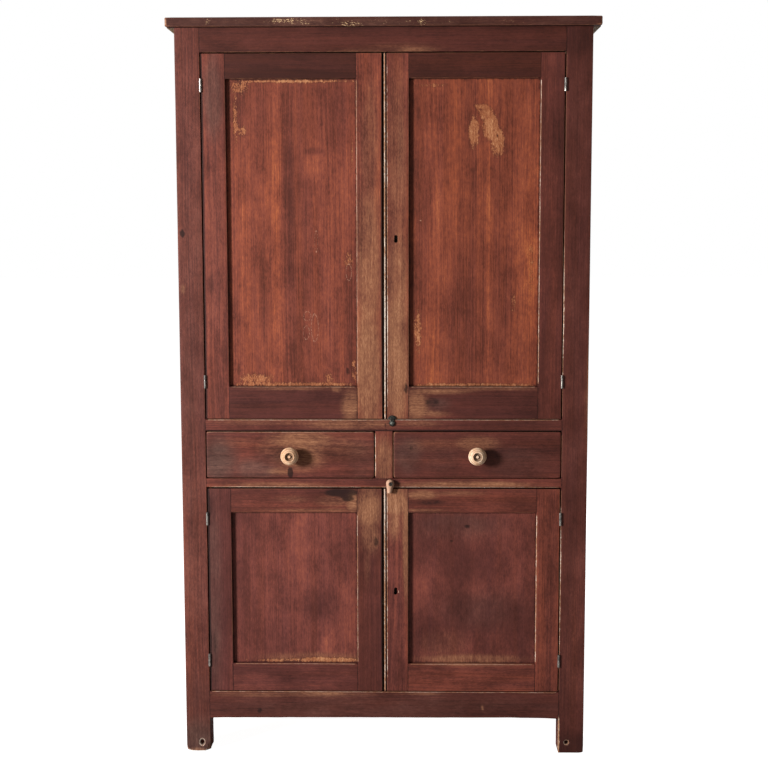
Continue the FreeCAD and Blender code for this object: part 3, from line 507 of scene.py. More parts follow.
def note_points(mesh, rest, board, notes, node, seed):
    """Writes what the finishes read: grain, arrises, joints, rubbing, dirt and painted shade, tone and
    stain.
    """
    normal = outward_normals(rest, board)[0]
    free, rubbed, seam = notes
    out = np.zeros(len(rest))
    for sign, axis in board.outward:
        out = np.maximum(out, normal[:, "xyz".index(axis)] * float(f"{sign}1"))
    if board.leaf is not None:          # of its edges, only the outermost were stained
        out = out * (edge_distance(rest, board.leaf) < 2.0)
    reached = clamped((front + STAIN_REACH - rest[:, 1]) / (7 * MM))
    tone = board.tone + 0.03 * math.sin(seed * 5.7)
    leg = clamped((under_rail - rest[:, 2]) / (4 * MM))
    # Painted shade inside holes, from 2 mm behind the face.
    hole_shade = painted(rest, node, "hole") * clamped((rest[:, 1] - front) / MM - 2.0)
    layers = {kind: painted(rest, node, kind) for kind in ("bare", "pale", "flake", "fleck", "grey")}
    layers.update(
        arris=free, rubbed=rubbed, seam=seam, cool=board.cool, figure=board.figure,
        dirt=np.maximum(painted(rest, node, "dirt"), hole_shade),
        tone=tone + painted(rest, node, "light") - painted(rest, node, "dark"),
        stained=np.maximum(np.maximum(out * 1.6, reached), leg), gap=gap_shade(rest, board.leaf))
    for name, values in layers.items():
        write(mesh, name, np.broadcast_to(values, len(rest)))
    write(mesh, "fibre", grain_places(rest, board, seed), "FLOAT_VECTOR")


def shaded(mesh, degrees=38):
    mesh.shade_smooth()
    mesh.set_sharp_from_angle(angle=math.radians(degrees))


seeds = iter(range(1, 500))


def make_boards(node, boards, neighbours, cutters):
    """One piece from its boards: sawn, cut, worn and noted."""
    meshes = []
    for board in boards:
        seed = next(seeds)
        mesh = mesh_of(sawn_box(board), node)
        box = (board.low, board.high)
        reaching = [cutter() for space, cutter in cutters if touches(space, box)]
        if reaching:
            mesh = cut_away(mesh, reaching)
        rest = points_of(mesh)
        others = [near for near in neighbours if touches(near, box, 6 * MM)
                  and not (np.allclose(near[0], board.low) and np.allclose(near[1], board.high))]
        notes = arris_notes(rest, board, others)
        rounding = painted(rest, node, "round")
        worn = weathered(rest, board, others, notes[1], rounding, seed)
        if board.shape:
            worn = board.shape(worn, rest)
        move_points(mesh, worn)
        note_points(mesh, rest, board, notes, node, seed)
        shaded(mesh)
        meshes.append(placed(mesh, node))
    if len(meshes) > 1:
        with bpy.context.temp_override(active_object=meshes[0], object=meshes[0],
                                       selected_editable_objects=meshes):
            bpy.ops.object.join()
    meshes[0].name = f"worn_{node}"
    return meshes[0]


def touches(a, b, room=0.0):
    return bool(np.all(a[0] - room <= b[1]) and np.all(b[0] - room <= a[1]))


# ================================================================ finishes


class Value:
    """A number that changes over a surface, with ordinary arithmetic."""

    def __init__(self, finish, socket):
        self.finish = finish
        self.socket = socket

    def __add__(self, other):
        return self.finish.maths("ADD", self, other)

    def __sub__(self, other):
        return self.finish.maths("SUBTRACT", self, other)

    def __rsub__(self, other):
        return self.finish.maths("SUBTRACT", other, self)

    def __mul__(self, other):
        return self.finish.maths("MULTIPLY", self, other)

    __radd__ = __add__
    __rmul__ = __mul__


def colour(*levels):
    """A colour written as it looks on a screen, 0 to 255, as the linear numbers of a shader."""
    shares = [level / 255 for level in levels]
    return (*[s / 12.92 if s <= 0.04045 else ((s + 0.055) / 1.055) ** 2.4 for s in shares], 1.0)


class Finish:
    """A material, or a world, whose nodes are laid one call at a time."""

    def __init__(self, name, world=None):
        self.owner = world or bpy.data.materials.new(name)
        self.owner.use_nodes = True
        self.tree = self.owner.node_tree
        self.tree.nodes.clear()

    def node(self, kind, sockets=None, **settings):
        """A node of a type: its settings first, then the values or links of its sockets."""
        node = self.tree.nodes.new(f"ShaderNode{kind}")
        for name, value in settings.items():
            setattr(node, name, value)
        for name, value in (sockets or {}).items():
            socket = next((s for s in node.inputs if s.identifier == name), None)
            socket = socket or node.inputs[name]
            if isinstance(value, Value):
                self.tree.links.new(value.socket, socket)
            else:
                socket.default_value = value
        return node

    def out(self, node, name=0):
        return Value(self, node.outputs[name])

    def maths(self, operation, first, second=0.0):
        return self.out(self.node("Math", {"Value": first, "Value_001": second},
                                  operation=operation))

    def higher(self, first, second):
        return self.maths("MAXIMUM", first, second)

    def rise(self, value, low, high):
        """0 below low, 1 above high and smooth between; it falls if low is above high."""
        near, far = sorted((low, high))
        last = 1.0 if low < high else 0.0
        ends = {"From Min": near, "From Max": far, "To Min": 1.0 - last, "To Max": last}
        return self.out(self.node("MapRange", {"Value": value, **ends},
                                  interpolation_type="SMOOTHSTEP"))

    def noted(self, name, output="Fac"):
        """What is written on the piece's points, as a number or, from Vector, as a place."""
        return self.out(self.node("Attribute", attribute_name=name), output)

    def place(self):
        return self.out(self.node("TexCoord"), "Object")

    def part(self, place, axis):
        return self.out(self.node("SeparateXYZ", {"Vector": place}), axis)

    def stretched(self, place, scales, shift=(0, 0, 0)):
        return self.out(self.node("VectorMath", {
            "Vector": place, "Vector_001": scales, "Vector_002": shift}, operation="MULTIPLY_ADD"))

    def noise(self, place, scales, detail, roughness, shift=(0, 0, 0)):
        """Noise about 0, with as many bumps to a metre as its scales say."""
        node = self.node("TexNoise", {"Vector": self.stretched(place, scales, shift), "Scale": 1,
                                      "Detail": detail, "Roughness": roughness},
                         noise_dimensions="3D")
        return self.out(node, "Fac") - 0.5

    def noise_by(self, value, scale):
        """Noise about 0 that changes with one number only."""
        node = self.node("TexNoise", {"W": value, "Scale": scale, "Detail": 2},
                         noise_dimensions="1D")
        return self.out(node, "Fac") - 0.5

    def ramp(self, value, stops):
        """A colour by a number; each stop is a place and a colour from 0 to 255."""
        node = self.node("ValToRGB", {"Fac": value})
        elements = node.color_ramp.elements
        while len(elements) < len(stops):
            elements.new(0.5)
        for element, (place, *levels) in zip(elements, stops):
            element.position = place
            element.color = colour(*levels)
        return self.out(node, "Color")

    def mix(self, share, first, second, blend="MIX"):
        node = self.node("Mix", data_type="RGBA", blend_type=blend, sockets={
            "Factor_Float": share, "A_Color": first, "B_Color": second})
        return self.out(node, 2)

    def finished(self, shade, roughness, height, depth, specular=0.5, metallic=0.0):
        """Ends the material in one shader; depth is that of its relief, in mm."""
        bump = self.node("Bump", {"Height": height, "Strength": 1.0, "Distance": depth * MM})
        shader = self.node("BsdfPrincipled", {
            "Base Color": shade, "Roughness": roughness, "Normal": self.out(bump),
            "Specular IOR Level": specular, "Metallic": metallic})
        self.node("OutputMaterial", {"Surface": self.out(shader)})
        return self.owner


def grey(level):
    return (level, level, level, 1.0)


STAIN = [(0.0, 30, 15, 13), (0.22, 60, 30, 25), (0.42, 88, 45, 37), (0.6, 116, 60, 48),
         (0.78, 142, 75, 55), (1.0, 176, 102, 66)]
WORN = [(0.0, 76, 45, 35), (0.3, 112, 70, 52), (0.54, 144, 96, 69), (0.78, 178, 128, 95),
        (1.0, 248, 230, 212)]
UNSTAINED = [(0.0, 96, 78, 60), (0.4, 142, 120, 94), (0.7, 170, 148, 120), (1.0, 200, 180, 150)]


def stained_wood(name, seam_dirt_and_shade_width=1.7, loops=()):
    """Thin red-brown stain over plain-sawn wood, rubbed through where hands and knocks reached it;
    loops are scratches, as x, z and radii in mm."""
    finish = Finish(name)
    fibre = finish.noted("fibre", "Vector")
    streak = finish.noise(fibre, (4, 230, 230), 4, 0.62)
    band = finish.noise(fibre, (1.2, 26, 26), 2, 0.5, (3, 0, 0))
    fine = finish.noise(fibre, (26, 1000, 1000), 2, 0.6)
    cloud = finish.noise(fibre, (8, 13, 13), 6, 0.62, (9, 4, 0))
    mottle = finish.noise(fibre, (70, 110, 110), 5, 0.68, (1, 7, 0))
    crackle = finish.noise(fibre, (230, 380, 380), 3, 0.6, (4, 1, 3))
    dash = finish.noise(fibre, (20, 420, 420), 4, 0.66, (2, 3, 8))
    warmth = finish.noise(fibre, (2, 40, 40), 3, 0.6, (6, 1, 2))
    pore = finish.noise(fibre, (120, 450, 450), 2, 0.6, (5, 9, 2))

    bow = finish.noise(fibre, (0.9, 2, 2), 1, 0.4, (5, 2, 0))
    side = finish.part(fibre, "Y")
    depth = finish.part(fibre, "Z") + bow * 0.09
    rings = finish.noise_by(finish.maths("SQRT", side * side + depth * depth), 230)

    figure = finish.noted("figure")
    grain = streak * 0.7 + band * 0.6 + rings * 0.4 + dash * 0.5 + fine * 0.5
    clouds = cloud * 1.3 + mottle * 0.6
    tone = finish.noted("tone") * (1.0 + grain * figure * 1.7 + pore * 0.6
                                   + clouds * (1.15 - figure * 0.35))
    warm = finish.noted("cool") + warmth * 1.1 + cloud * 0.6
    tint = finish.mix(warm, (1.02, 0.94, 0.78, 1.0), (0.98, 1.03, 1.22, 1.0))
    shade = finish.mix(1.0, finish.ramp(tone, STAIN), tint, "MULTIPLY")

    bare = finish.noted("bare")
    wood = (0.33 + bare * 0.2 + streak * 0.3 + dash * 0.4 + rings * 0.2 + pore * 0.6 + cloud * 0.6
            + mottle * 0.2)
    broken = streak * 0.6 + dash * 0.5 + pore * 0.6 + cloud * 1.4 + mottle * 0.5
    rubbed = finish.rise(bare * (broken * 1.2 + 1.2), 0.05, 1.05)
    shade = finish.mix(rubbed * 0.94, shade, finish.ramp(wood, WORN))

    rub = finish.noted("rubbed")
    ragged = (mottle + cloud) * 3.0
    edge = finish.noted("arris") + ragged
    knocked = finish.rise(edge - rub * 1.9, 0.5, -0.4)
    shade = finish.mix(knocked * 0.72, shade, finish.ramp(wood + rub * 0.25, WORN))
    # Arrises rubbed hard turn cream; on those that face the lamp this also paints part of their highlight.
    creamy = finish.rise(rub, 0.5, 0.95) * finish.rise(edge, 1.9, 0.8)
    chipped = finish.higher(finish.rise(finish.noted("pale") + ragged * 0.16, 0.4, 0.55), creamy)
    shade = finish.mix(chipped * 0.9, shade, finish.ramp(wood + 0.5, WORN))
    flecked = finish.rise(finish.noted("fleck") + crackle * 1.9 + mottle * 1.2, 0.64, 0.74)
    shade = finish.mix(flecked * 0.85, shade, colour(222, 182, 136))

    flake = finish.noted("flake")
    peel = flake + mottle * 1.3 + crackle + cloud * 0.8
    flaked = finish.rise(peel, 0.42, 0.56)
    old_varnish = finish.ramp(wood + crackle * 0.7 + flake * 0.24, [
        (0.2, 110, 58, 38), (0.5, 158, 96, 62), (0.85, 214, 158, 112)])
    shade = finish.mix(flaked * (0.56 + flake * 0.3), shade, old_varnish)
    lip = finish.rise(peel, 0.3, 0.4) * (1.0 - flaked)
    shade = finish.mix(lip * 0.4, shade, colour(44, 22, 18))

    veil = finish.rise(finish.noted("grey") * (1.0 + cloud * 2.0), 0.0, 1.0)
    shade = finish.mix(veil * 0.8, shade, finish.ramp(wood, [
        (0.1, 52, 38, 34), (0.4, 92, 68, 60), (0.7, 122, 92, 80)]))

    # Darker with old dirt and with painted shade: the dirt marks also paint the shade in gaps, quirks and
    # holes, the gap note paints the shade round doors and drawers, and the seam band is dark joints and, on
    # the panels, painted shade in the corners of their recesses.
    grime_and_shade = finish.rise(finish.noted("dirt") + cloud * 0.9 + mottle * 0.7, 0.34, 0.8)
    seam = finish.rise(finish.noted("seam") + mottle * (2.4 * seam_dirt_and_shade_width), seam_dirt_and_shade_width, 0.3)
    speck = finish.rise(mottle, -0.24, -0.3)
    darkened = finish.higher(finish.higher(grime_and_shade, finish.noted("gap")) * 0.85,
                             finish.higher(seam * 0.65, speck * 0.5))
    shade = finish.mix(darkened, shade, colour(30, 18, 16))

    for x, z, half_width, half_height in loops:
        scales = (1000.0 / half_width, 0.0, 1000.0 / half_height)
        offset = finish.stretched(finish.place(), scales, (-x / half_width, 0.0, -z / half_height))
        length = finish.node("VectorMath", {"Vector": offset}, operation="LENGTH")
        off_line = finish.maths("ABSOLUTE", finish.out(length, "Value") + mottle * 0.4 - 1.0)
        line = finish.rise(off_line, 0.1, 0.02) * finish.rise(crackle, -0.06, 0.06)
        shade = finish.mix(line * 0.4, shade, colour(206, 158, 132))

    covered = finish.rise(finish.noted("stained") + cloud * 0.9, 0.3, 0.5)
    shade = finish.mix(covered, finish.ramp(wood + 0.1, UNSTAINED), shade)

    through = finish.higher(rubbed, knocked)
    roughness = 0.55 + through * 0.22 + cloud * 0.3 + flaked * 0.12
    height = streak * 0.5 + fine * 0.4 - through * 0.35 - flaked * 0.5 + rings * 0.2
    return finish.finished(shade, roughness, height, 0.28, 0.12)


def bare_wood(name, along, stops=UNSTAINED, roughness=0.82, sawn=0.0, grime=False):
    """Unpainted wood that has darkened with age, its grain along one axis of the object; sawn is
    how deep its saw marks are."""
    finish = Finish(name)
    order = {"x": "XYZ", "y": "YXZ", "z": "ZXY"}[along]
    parts = {to: finish.part(finish.place(), axis) for to, axis in zip("XYZ", order)}
    fibre = finish.out(finish.node("CombineXYZ", parts))
    streak = finish.noise(fibre, (3.5, 120, 120), 3, 0.6)
    fine = finish.noise(fibre, (25, 800, 800), 2, 0.6)
    band = finish.noise(fibre, (1.1, 22, 22), 2, 0.5, (3, 0, 0))
    cloud = finish.noise(fibre, (5, 9, 9), 4, 0.6, (9, 4, 0))
    kerf = finish.noise(fibre, (420, 6, 6), 1, 0.5)
    shade = finish.ramp(0.5 + streak * 0.7 + band * 0.8 + cloud * 0.9 + fine * 0.25, stops)
    if grime:
        dirty = finish.rise(finish.noted("dirt") + cloud * 0.8, 0.2, 0.9)
        shade = finish.mix(dirty * 0.8, shade, colour(48, 30, 22))
    height = streak * 0.5 + fine * 0.3 + kerf * sawn
    return finish.finished(shade, roughness + cloud * 0.2, height, 0.3, 0.2)


def turned_wood(name, paleness):
    """Bare wood off the lathe, darker in the cup of its head, along two rings on the head, and behind its
    widest ring.
    """
    finish = Finish(name)
    place = finish.place()
    radius = finish.noted("turning")
    streak = finish.noise(place, (260, 40, 700), 3, 0.6)
    cloud = finish.noise(place, (60, 60, 60), 4, 0.6)
    lathe = finish.noise_by(radius, 0.9)
    shade = finish.ramp(paleness + streak * 0.6 + cloud * 0.9 + lathe * 0.7, [
        (0.15, 150, 98, 66), (0.4, 196, 146, 108), (0.62, 224, 182, 146), (0.85, 244, 216, 188)])
    cup = finish.rise(radius, 12.0, 10.4) * finish.rise(radius, 2.4, 3.8)
    for groove in (14.8, 19.4):
        off_line = finish.maths("ABSOLUTE", radius - groove)
        cup = finish.higher(cup, finish.rise(off_line, 0.9, 0.2) * 0.7)
    dirty = finish.rise(cup * 0.8 + cloud * 0.6, 0.1, 0.9)
    shade = finish.mix(dirty * 0.8, shade, colour(78, 48, 30))
    neck = finish.rise(radius, -2.0, -9.0)
    shade = finish.mix(neck * 0.6, shade, colour(74, 46, 30))
    return finish.finished(shade, 0.6 + cloud * 0.3, lathe * 0.8 + streak * 0.4, 0.25, 0.25)


def metal(name, dark, bright, rust, roughness, polish, shine):
    """Old hardware: dull skin, rubbed bright in places, with rust."""
    finish = Finish(name)
    place = finish.place()
    cloud = finish.noise(place, (90, 90, 90), 4, 0.65)
    fleck = finish.noise(place, (700, 700, 700), 3, 0.6)
    rubbed = finish.rise(cloud + fleck * 0.4, polish + 0.1, polish - 0.12)
    shade = finish.mix(rubbed, colour(*dark), colour(*bright))
    rusty = finish.rise(fleck + cloud * 0.8, 0.1, 0.25)
    shade = finish.mix(rusty * 0.7, shade, colour(*rust))
    gloss = roughness - rubbed * 0.12 + rusty * 0.25
    return finish.finished(shade, gloss, fleck * 0.6 + cloud, 0.12,
                           metallic=shine - rusty * (0.8 * shine))


# dark, bright and rusty colour, roughness, polish and shine
METALS = {
    "old_iron": ((92, 88, 84), (168, 162, 154), (70, 48, 38), 0.4, 0.0, 0.8),
    # The lock cases' iron is near black, which also paints the shade seen through the keyholes.
    "lock_iron": ((20, 18, 17), (50, 46, 42), (52, 38, 30), 0.7, -0.1, 0.5),
    "blackened_iron": ((40, 40, 38), (104, 104, 96), (70, 50, 40), 0.5, -0.1, 1.0),
    "flat_screw": ((34, 33, 31), (100, 92, 82), (70, 50, 40), 0.5, -0.14, 0.7),
    "round_screw": ((56, 56, 52), (96, 98, 90), (60, 48, 38), 0.5, 0.04, 0.6),
    "lock_brass": ((126, 100, 60), (190, 158, 96), (84, 66, 44), 0.38, 0.0, 1.0),
}
metals = {name: metal(f"{name}_finish", *looks) for name, looks in METALS.items()}
frame_finish = stained_wood("stained_frame_finish")
# The panels darken wider along their joints: old dirt, and painted shade in the corners of their recesses.
panel_finish = stained_wood("stained_panel_finish", 4.5, (
    (-194, 1142, 9, 12), (-197, 1100, 8, 17), (-175, 1112, 9, 34), (-88, 1253, 7, 20),
    (-170, 1330, 4, 26)))
top_finish = stained_wood("stained_top_finish")
inside_finish = {axis: bare_wood(f"inside_{axis}_finish", axis) for axis in "xy"}
back_finish = bare_wood("back_board_finish", "z", [
    (0.0, 74, 56, 42), (0.4, 112, 88, 66), (0.7, 138, 112, 86), (1.0, 166, 140, 112)], 0.88, 0.6)
knob_finishes = {"left": turned_wood("left_knob_finish", 0.52),
                 "right": turned_wood("right_knob_finish", 0.64)}
button_finish = bare_wood("whittled_button_finish", "z", [
    (0.0, 108, 74, 58), (0.4, 166, 122, 98), (0.7, 212, 174, 146), (1.0, 240, 212, 188)], 0.66,
    grime=True)
FRAME_LOOK = ("stained_frame", frame_finish)


# ================================================================ the boards of the case
CASE_BOARDS = {}
ROOM = 0.1 * MM                         # how loosely ironwork sits in its wood
hinge_cutters = [box_cut(*box, ROOM) for box in loose_boxes("hinge_case_leaves")]
FOOT_HOLES = {"left": (-478.0, 24.1, 1.3), "right": (474.5, 27.7, 1.0)}    # x, z, how tall
RIM = 8.5                               # radius of the hole at the face, in mm
BORE = 4.8                              # and inside it


def foot_hole(side):
    """The old fixing hole in the face of a front foot, its rim worn to a shallow cone."""
    x, z, tall = FOOT_HOLES[side]
    near = Vector((x * MM, front - CLEAR, z * MM))
    reach = np.array([12, 16, 12]) * MM
    box = (np.array(near) - reach, np.array(near) + reach)
    mouth = RIM + (RIM - BORE) / 3
    return [(box, lambda: rod_cutter(near, mouth * MM, 4 * MM, BORE / mouth, tall)),
            (box, lambda: rod_cutter(near, BORE * MM, 15 * MM, 1.0, tall))]


def heel_cut():
    """The corner knocked off the bottom of the right foot, inside and behind its face."""
    low = corners("post_front_right")[0]
    width, length = 17 * MM, 56 * MM
    middle = Vector((low[0], front + 8 * MM + length / 2, low[2]))
    size = (width, length, width)
    box = (np.array(middle) - 12 * MM, np.array(middle) + 12 * MM)
    return [(box, lambda: turned_cutter(size, 45, middle))]


def worn_foot(points, rest):
    """The bottom of a post, chipped and rounded where it has stood and been dragged."""
    low, high = rest.min(axis=0), rest.max(axis=0)
    reach = 9 * MM
    centre = np.clip(points, low + reach, high - reach)
    centre[:, 2] = np.maximum(points[:, 2], low[2] + reach)
    away = points - centre
    length = np.linalg.norm(away, axis=1)
    roundness = 0.25 if high[0] > 0 else 0.5
    share = clamped((low[2] + 2 * reach - rest[:, 2]) / (2 * reach))
    share *= clamped(0.4 + 1.2 * wander(rest, 60, 3)) * roundness
    pull = np.clip(length - reach, 0.0, None) * share
    scale = np.where(length > 1e-9, 1.0 - pull / np.maximum(length, 1e-9), 1.0)
    return centre + away * scale[:, None]


def wavy_underside(points, rest):
    """The lower edge of the bottom rail, which is a little lower at its ends."""
    low, high = rest[:, 2].min(), rest[:, 2].max()
    share = clamped((high - rest[:, 2]) / (high - low)) ** 2
    lift = np.interp(rest[:, 0] / MM, (-456, -98, 141, 330, 400, 453),
                     (-2.0, 0.2, 0.4, 1.2, 0.4, -1.4))
    lift += 0.4 * wander(rest * np.array([1.0, 0.0, 0.0]), 30, 11)
    points[:, 2] += share * lift * MM
    return points


OUT = {"left": "-x", "right": "+x"}
POST_RUB = {"left": {"-x": 0.35, "+x": 0.3, "-z": 0.9}, "right": {"-x": 0.5, "+x": 0.35}}
for side, tone in (("left", 0.48), ("right", 0.4)):
    for end, faces in (("front", ("-y", OUT[side])), ("back", ("+y", OUT[side]))):
        node = f"post_{end}_{side}"
        CASE_BOARDS[node] = ([Board(corners(node), 2, tone, faces, POST_RUB[side],
                                    shape=worn_foot)], *FRAME_LOOK)

CASE_BOARDS["top_board"] = ([Board(corners("top_board"), 0, 0.25, ("-y", "+y", "-x", "+x", "+z"),
                                   {"+z": 0.3, "-z": 0.35, "-x": 0.6}, 0.3, wear=1.5)],
                            "stained_top", top_finish)
RAILS = (("front_top_rail", 0.28, {"-z": 0.4}), ("front_bottom_rail", 0.33, {"+z": 0.66}),
         ("upper_drawer_rail", 0.4, {"+z": 0.72, "-z": 0.35}),
         ("lower_drawer_rail", 0.44, {"-z": 0.7}))
for node, tone, rub in RAILS:
    cool = 0.3 if node == "front_top_rail" else 0.5
    box = clipped(corners(node), 0, inner_left, inner_right)
    shape = wavy_underside if node == "front_bottom_rail" else None
    lines = [(2, box[0][2] + 1.5 * MM)]
    CASE_BOARDS[node] = ([Board(box, 0, tone, ("-y",), rub, cool, shape=shape, lines=lines)],
                         *FRAME_LOOK)
muntin = clipped(corners("drawer_muntin"), 2, corners("lower_drawer_rail")[1][2],
                 corners("upper_drawer_rail")[0][2])
CASE_BOARDS["drawer_muntin"] = ([Board(muntin, 2, 0.5, ("-y",), {"-x": 0.85, "+x": 0.4})],
                                *FRAME_LOOK)


def outer_face(box):
    return ("-x",) if box[0][0] < 0 else ("+x",)


side_rail_boxes = [clipped(box, 1, front_post_back, back_post_front)
                   for box in loose_boxes("side_rails")]
CASE_BOARDS["side_rails"] = ([Board(box, 1, 0.42, outer_face(box), step=12)
                              for box in side_rail_boxes], *FRAME_LOOK)
rail_edges = sorted({round(box[i][2], 5) for box in side_rail_boxes for i in (0, 1)})
side_panel_boxes = []
for box in loose_boxes("side_panels"):
    opening = [rail_edges[1], rail_edges[2]] if box[0][2] < 0.5 else [rail_edges[3], rail_edges[4]]
    box = clipped(box, 1, front_post_back, back_post_front)
    side_panel_boxes.append(clipped(box, 2, *opening))
CASE_BOARDS["side_panels"] = ([Board(box, 2, 0.5, outer_face(box), step=14)
                               for box in side_panel_boxes], "stained_panel", panel_finish)
CASE_BOARDS["back_rails"] = ([Board(clipped(box, 0, inner_left, inner_right), 0, 0.4, (), step=16)
                              for box in loose_boxes("back_rails")],
                             "bare_inside_wood", frame_finish)

back_low, back_high = corners("back_boards")
rabbet_cutter = box_cut(back_low - np.array([0.3, 0.3, 0.0]) * MM,
                        back_high + np.array([0.3, 1.0, 0.3]) * MM)

case_boxes = [(board.low, board.high) for boards, *_ in CASE_BOARDS.values() for board in boards]
OWN_CUTS = {"post_front_left": foot_hole("left"),
            "post_front_right": foot_hole("right") + heel_cut()}


def finish_piece(piece, node, body, slot, finish):
    piece.data.materials.clear()
    piece.data.materials.append(finish)
    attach(piece, body)
    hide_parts(node)


for node, (boards, slot, finish) in CASE_BOARDS.items():
    cutters = hinge_cutters + OWN_CUTS.get(node, [])
    if node.startswith("post_back"):
        cutters = [rabbet_cutter]
    piece = make_boards(node, boards, case_boxes, cutters)
    finish_piece(piece, node, "case", slot, finish)


# ================================================================ doors
# The tone and coolness of each board, how strongly the panel's grain shows, and how rubbed the
# right-hand arris beside the panel is; that arris faces the lamp, so rubbing it pale also paints
# part of its highlight.
DOORS = {
    "upper_left": dict(hinge=(0.58, 0.5), meeting=(0.66, 0.3), bottom=(0.31, 0.6), top=(0.2, 0.1),
                       panel=(0.58, 0.22), figure=0.55, arris_rub_and_highlight=0.66),
    "upper_right": dict(hinge=(0.35, 0.45), meeting=(0.54, 0.35), bottom=(0.3, 0.5),
                        top=(0.27, 0.1), panel=(0.62, 0.08), figure=0.6, arris_rub_and_highlight=0.8),
    "lower_left": dict(hinge=(0.43, 0.95), meeting=(0.4, 0.6), bottom=(0.44, 0.7),
                       top=(0.42, 0.5), panel=(0.5, 0.75), figure=0.4, arris_rub_and_highlight=0.7),
    "lower_right": dict(hinge=(0.51, 0.4), meeting=(0.51, 0.6), bottom=(0.5, 0.45),
                        top=(0.44, 0.4), panel=(0.48, 0.7), figure=0.15, arris_rub_and_highlight=0.95),
}
EDGES = ("-y", "-x", "+x", "-z", "+z")
BEAD = 4.8 * MM
QUIRK = 2.6 * MM
BOLT_ROOM = 2.2 * MM


def bead_rounded(points, rest):
    """Rounds the strip beside the quirk into a bead."""
    edge = rest[:, 0].min()
    radius = BEAD / 2
    from_middle = rest[:, 0] - edge - radius
    on_bead = (rest[:, 0] < edge + BEAD + 1e-6) & (rest[:, 1] < front + QUIRK - 1e-6)
    drop = radius - np.sqrt(np.clip(radius ** 2 - from_middle ** 2, 0.0, None))
    rounded = points.copy()
    rounded[:, 1] = np.maximum(points[:, 1], front + drop)
    rounded[:, 0] = np.where(on_bead, rest[:, 0], points[:, 0])
    return np.where(on_bead[:, None], rounded, points)


PIN_FROM_LOCK_SIDE = 29.9 * MM
PIN_OVER_LOCK_FOOT = 24.0 * MM


def keyhole_cutters(tier):
    """A round eye over a slot that widens a little, through to the lock."""
    lock_low = corners(f"{tier}_lock_case")[0]
    x = lock_low[0] + PIN_FROM_LOCK_SIDE
    z = lock_low[2] + PIN_OVER_LOCK_FOOT
    near = front - CLEAR
    depth = lock_low[1] - near + 0.5 * MM
    reach = 12 * MM
    box = (np.array([x - reach, near, z - reach]), np.array([x + reach, near + depth, z + reach]))
    return [
        (box, lambda: rod_cutter((x + 0.3 * MM, near, z + 5.6 * MM), 4.0 * MM, depth)),
        (box, lambda: rod_cutter((x, near, z - 5.0 * MM), 4.6 * MM, depth)),
        box_cut((x - 3.7 * MM, near, z - 5.2 * MM), (x + 4.1 * MM, near + depth, z + 5.6 * MM)),
    ]


def make_door(tier, side):
    """The frame and panel of one door, as the five pieces that a joiner cut."""
    name = f"{tier}_{side}_door"
    wood = DOORS[f"{tier}_{side}"]
    hinge = corners(f"{name}_hinge_stile")
    meeting = corners(f"{name}_meeting_stile")
    inner = sorted((hinge, meeting), key=lambda box: box[0][0])
    span = (inner[0][1][0], inner[1][0][0])
    rails = [clipped(box, 0, *span) for box in loose_boxes(f"{name}_rails")]
    panel = clipped(corners(f"{name}_panel"), 0, *span)
    panel = clipped(panel, 2, rails[0][1][2], rails[1][0][2])
    boxes = [hinge, meeting, *rails, panel]

    leaf = (np.min([box[0] for box in boxes], axis=0), np.max([box[1] for box in boxes], axis=0))

    def framed(part, box, along, rub):
        tone, cool = wood[part]
        return Board(box, along, tone, EDGES, rub, cool, leaf=leaf)

    arris_rub_and_highlight = wood["arris_rub_and_highlight"]
    meeting_rub = {"left": {"-x": arris_rub_and_highlight, "+x": 0.45}, "right": {"-x": 1.0, "+x": 0.45}}[side]
    meeting_board = framed("meeting", meeting, 2, meeting_rub)
    if side == "right":
        edge = meeting[0][0]
        quirk = box_cut((edge + BEAD, front - CLEAR, 0.0),
                        (edge + BEAD + QUIRK, front + QUIRK, 2.0))
        lock = box_cut(*corners(f"{tier}_lock_case"), ROOM)
        meeting_cuts = [lock, quirk, *keyhole_cutters(tier)]
        for share in (0.05, 0.14, 0.28, 0.42, 0.58, 0.72, 0.86, 0.95):
            meeting_board.lines.append((0, edge + share * BEAD))
        for past in (1.2, 2.6):
            meeting_board.lines.append((0, edge + BEAD + QUIRK + past * MM))
        meeting_board.shape = bead_rounded
    else:
        edge = meeting[1][0]
        low, high = corners(f"{tier}_lock_bolt")
        meeting_cuts = [box_cut((edge - 12 * MM, low[1] - BOLT_ROOM, low[2] - BOLT_ROOM),
                                (edge + CLEAR, high[1] + BOLT_ROOM, high[2] + BOLT_ROOM))]
        meeting_board.lines.append((0, edge - 1.8 * MM))

    hinge_rub = {"left": {"-x": 0.05, "+x": 0.4}, "right": {"-x": arris_rub_and_highlight, "+x": 0.3}}[side]
    hinge_board = framed("hinge", hinge, 2, hinge_rub)
    rail_boards = [framed("bottom", rails[0], 0, {"+z": 0.62}),
                   framed("top", rails[1], 0, {"-z": 0.35})]
    tone, cool = wood["panel"]
    panel_board = Board(panel, 2, tone, ("-y",), {}, cool, step=5.0, figure=wood["figure"])
    for part, boards, cutters, slot, finish in (
            ("hinge_stile", [hinge_board], hinge_cutters, *FRAME_LOOK),
            ("meeting_stile", [meeting_board], meeting_cuts, *FRAME_LOOK),
            ("rails", rail_boards, [], *FRAME_LOOK),
            ("panel", [panel_board], [], "stained_panel", panel_finish)):
        piece = make_boards(f"{name}_{part}", boards, boxes, cutters)
        finish_piece(piece, f"{name}_{part}", name, slot, finish)


for tier in TIERS:
    for side in SIDES:
        make_door(tier, side)


# ================================================================ drawers


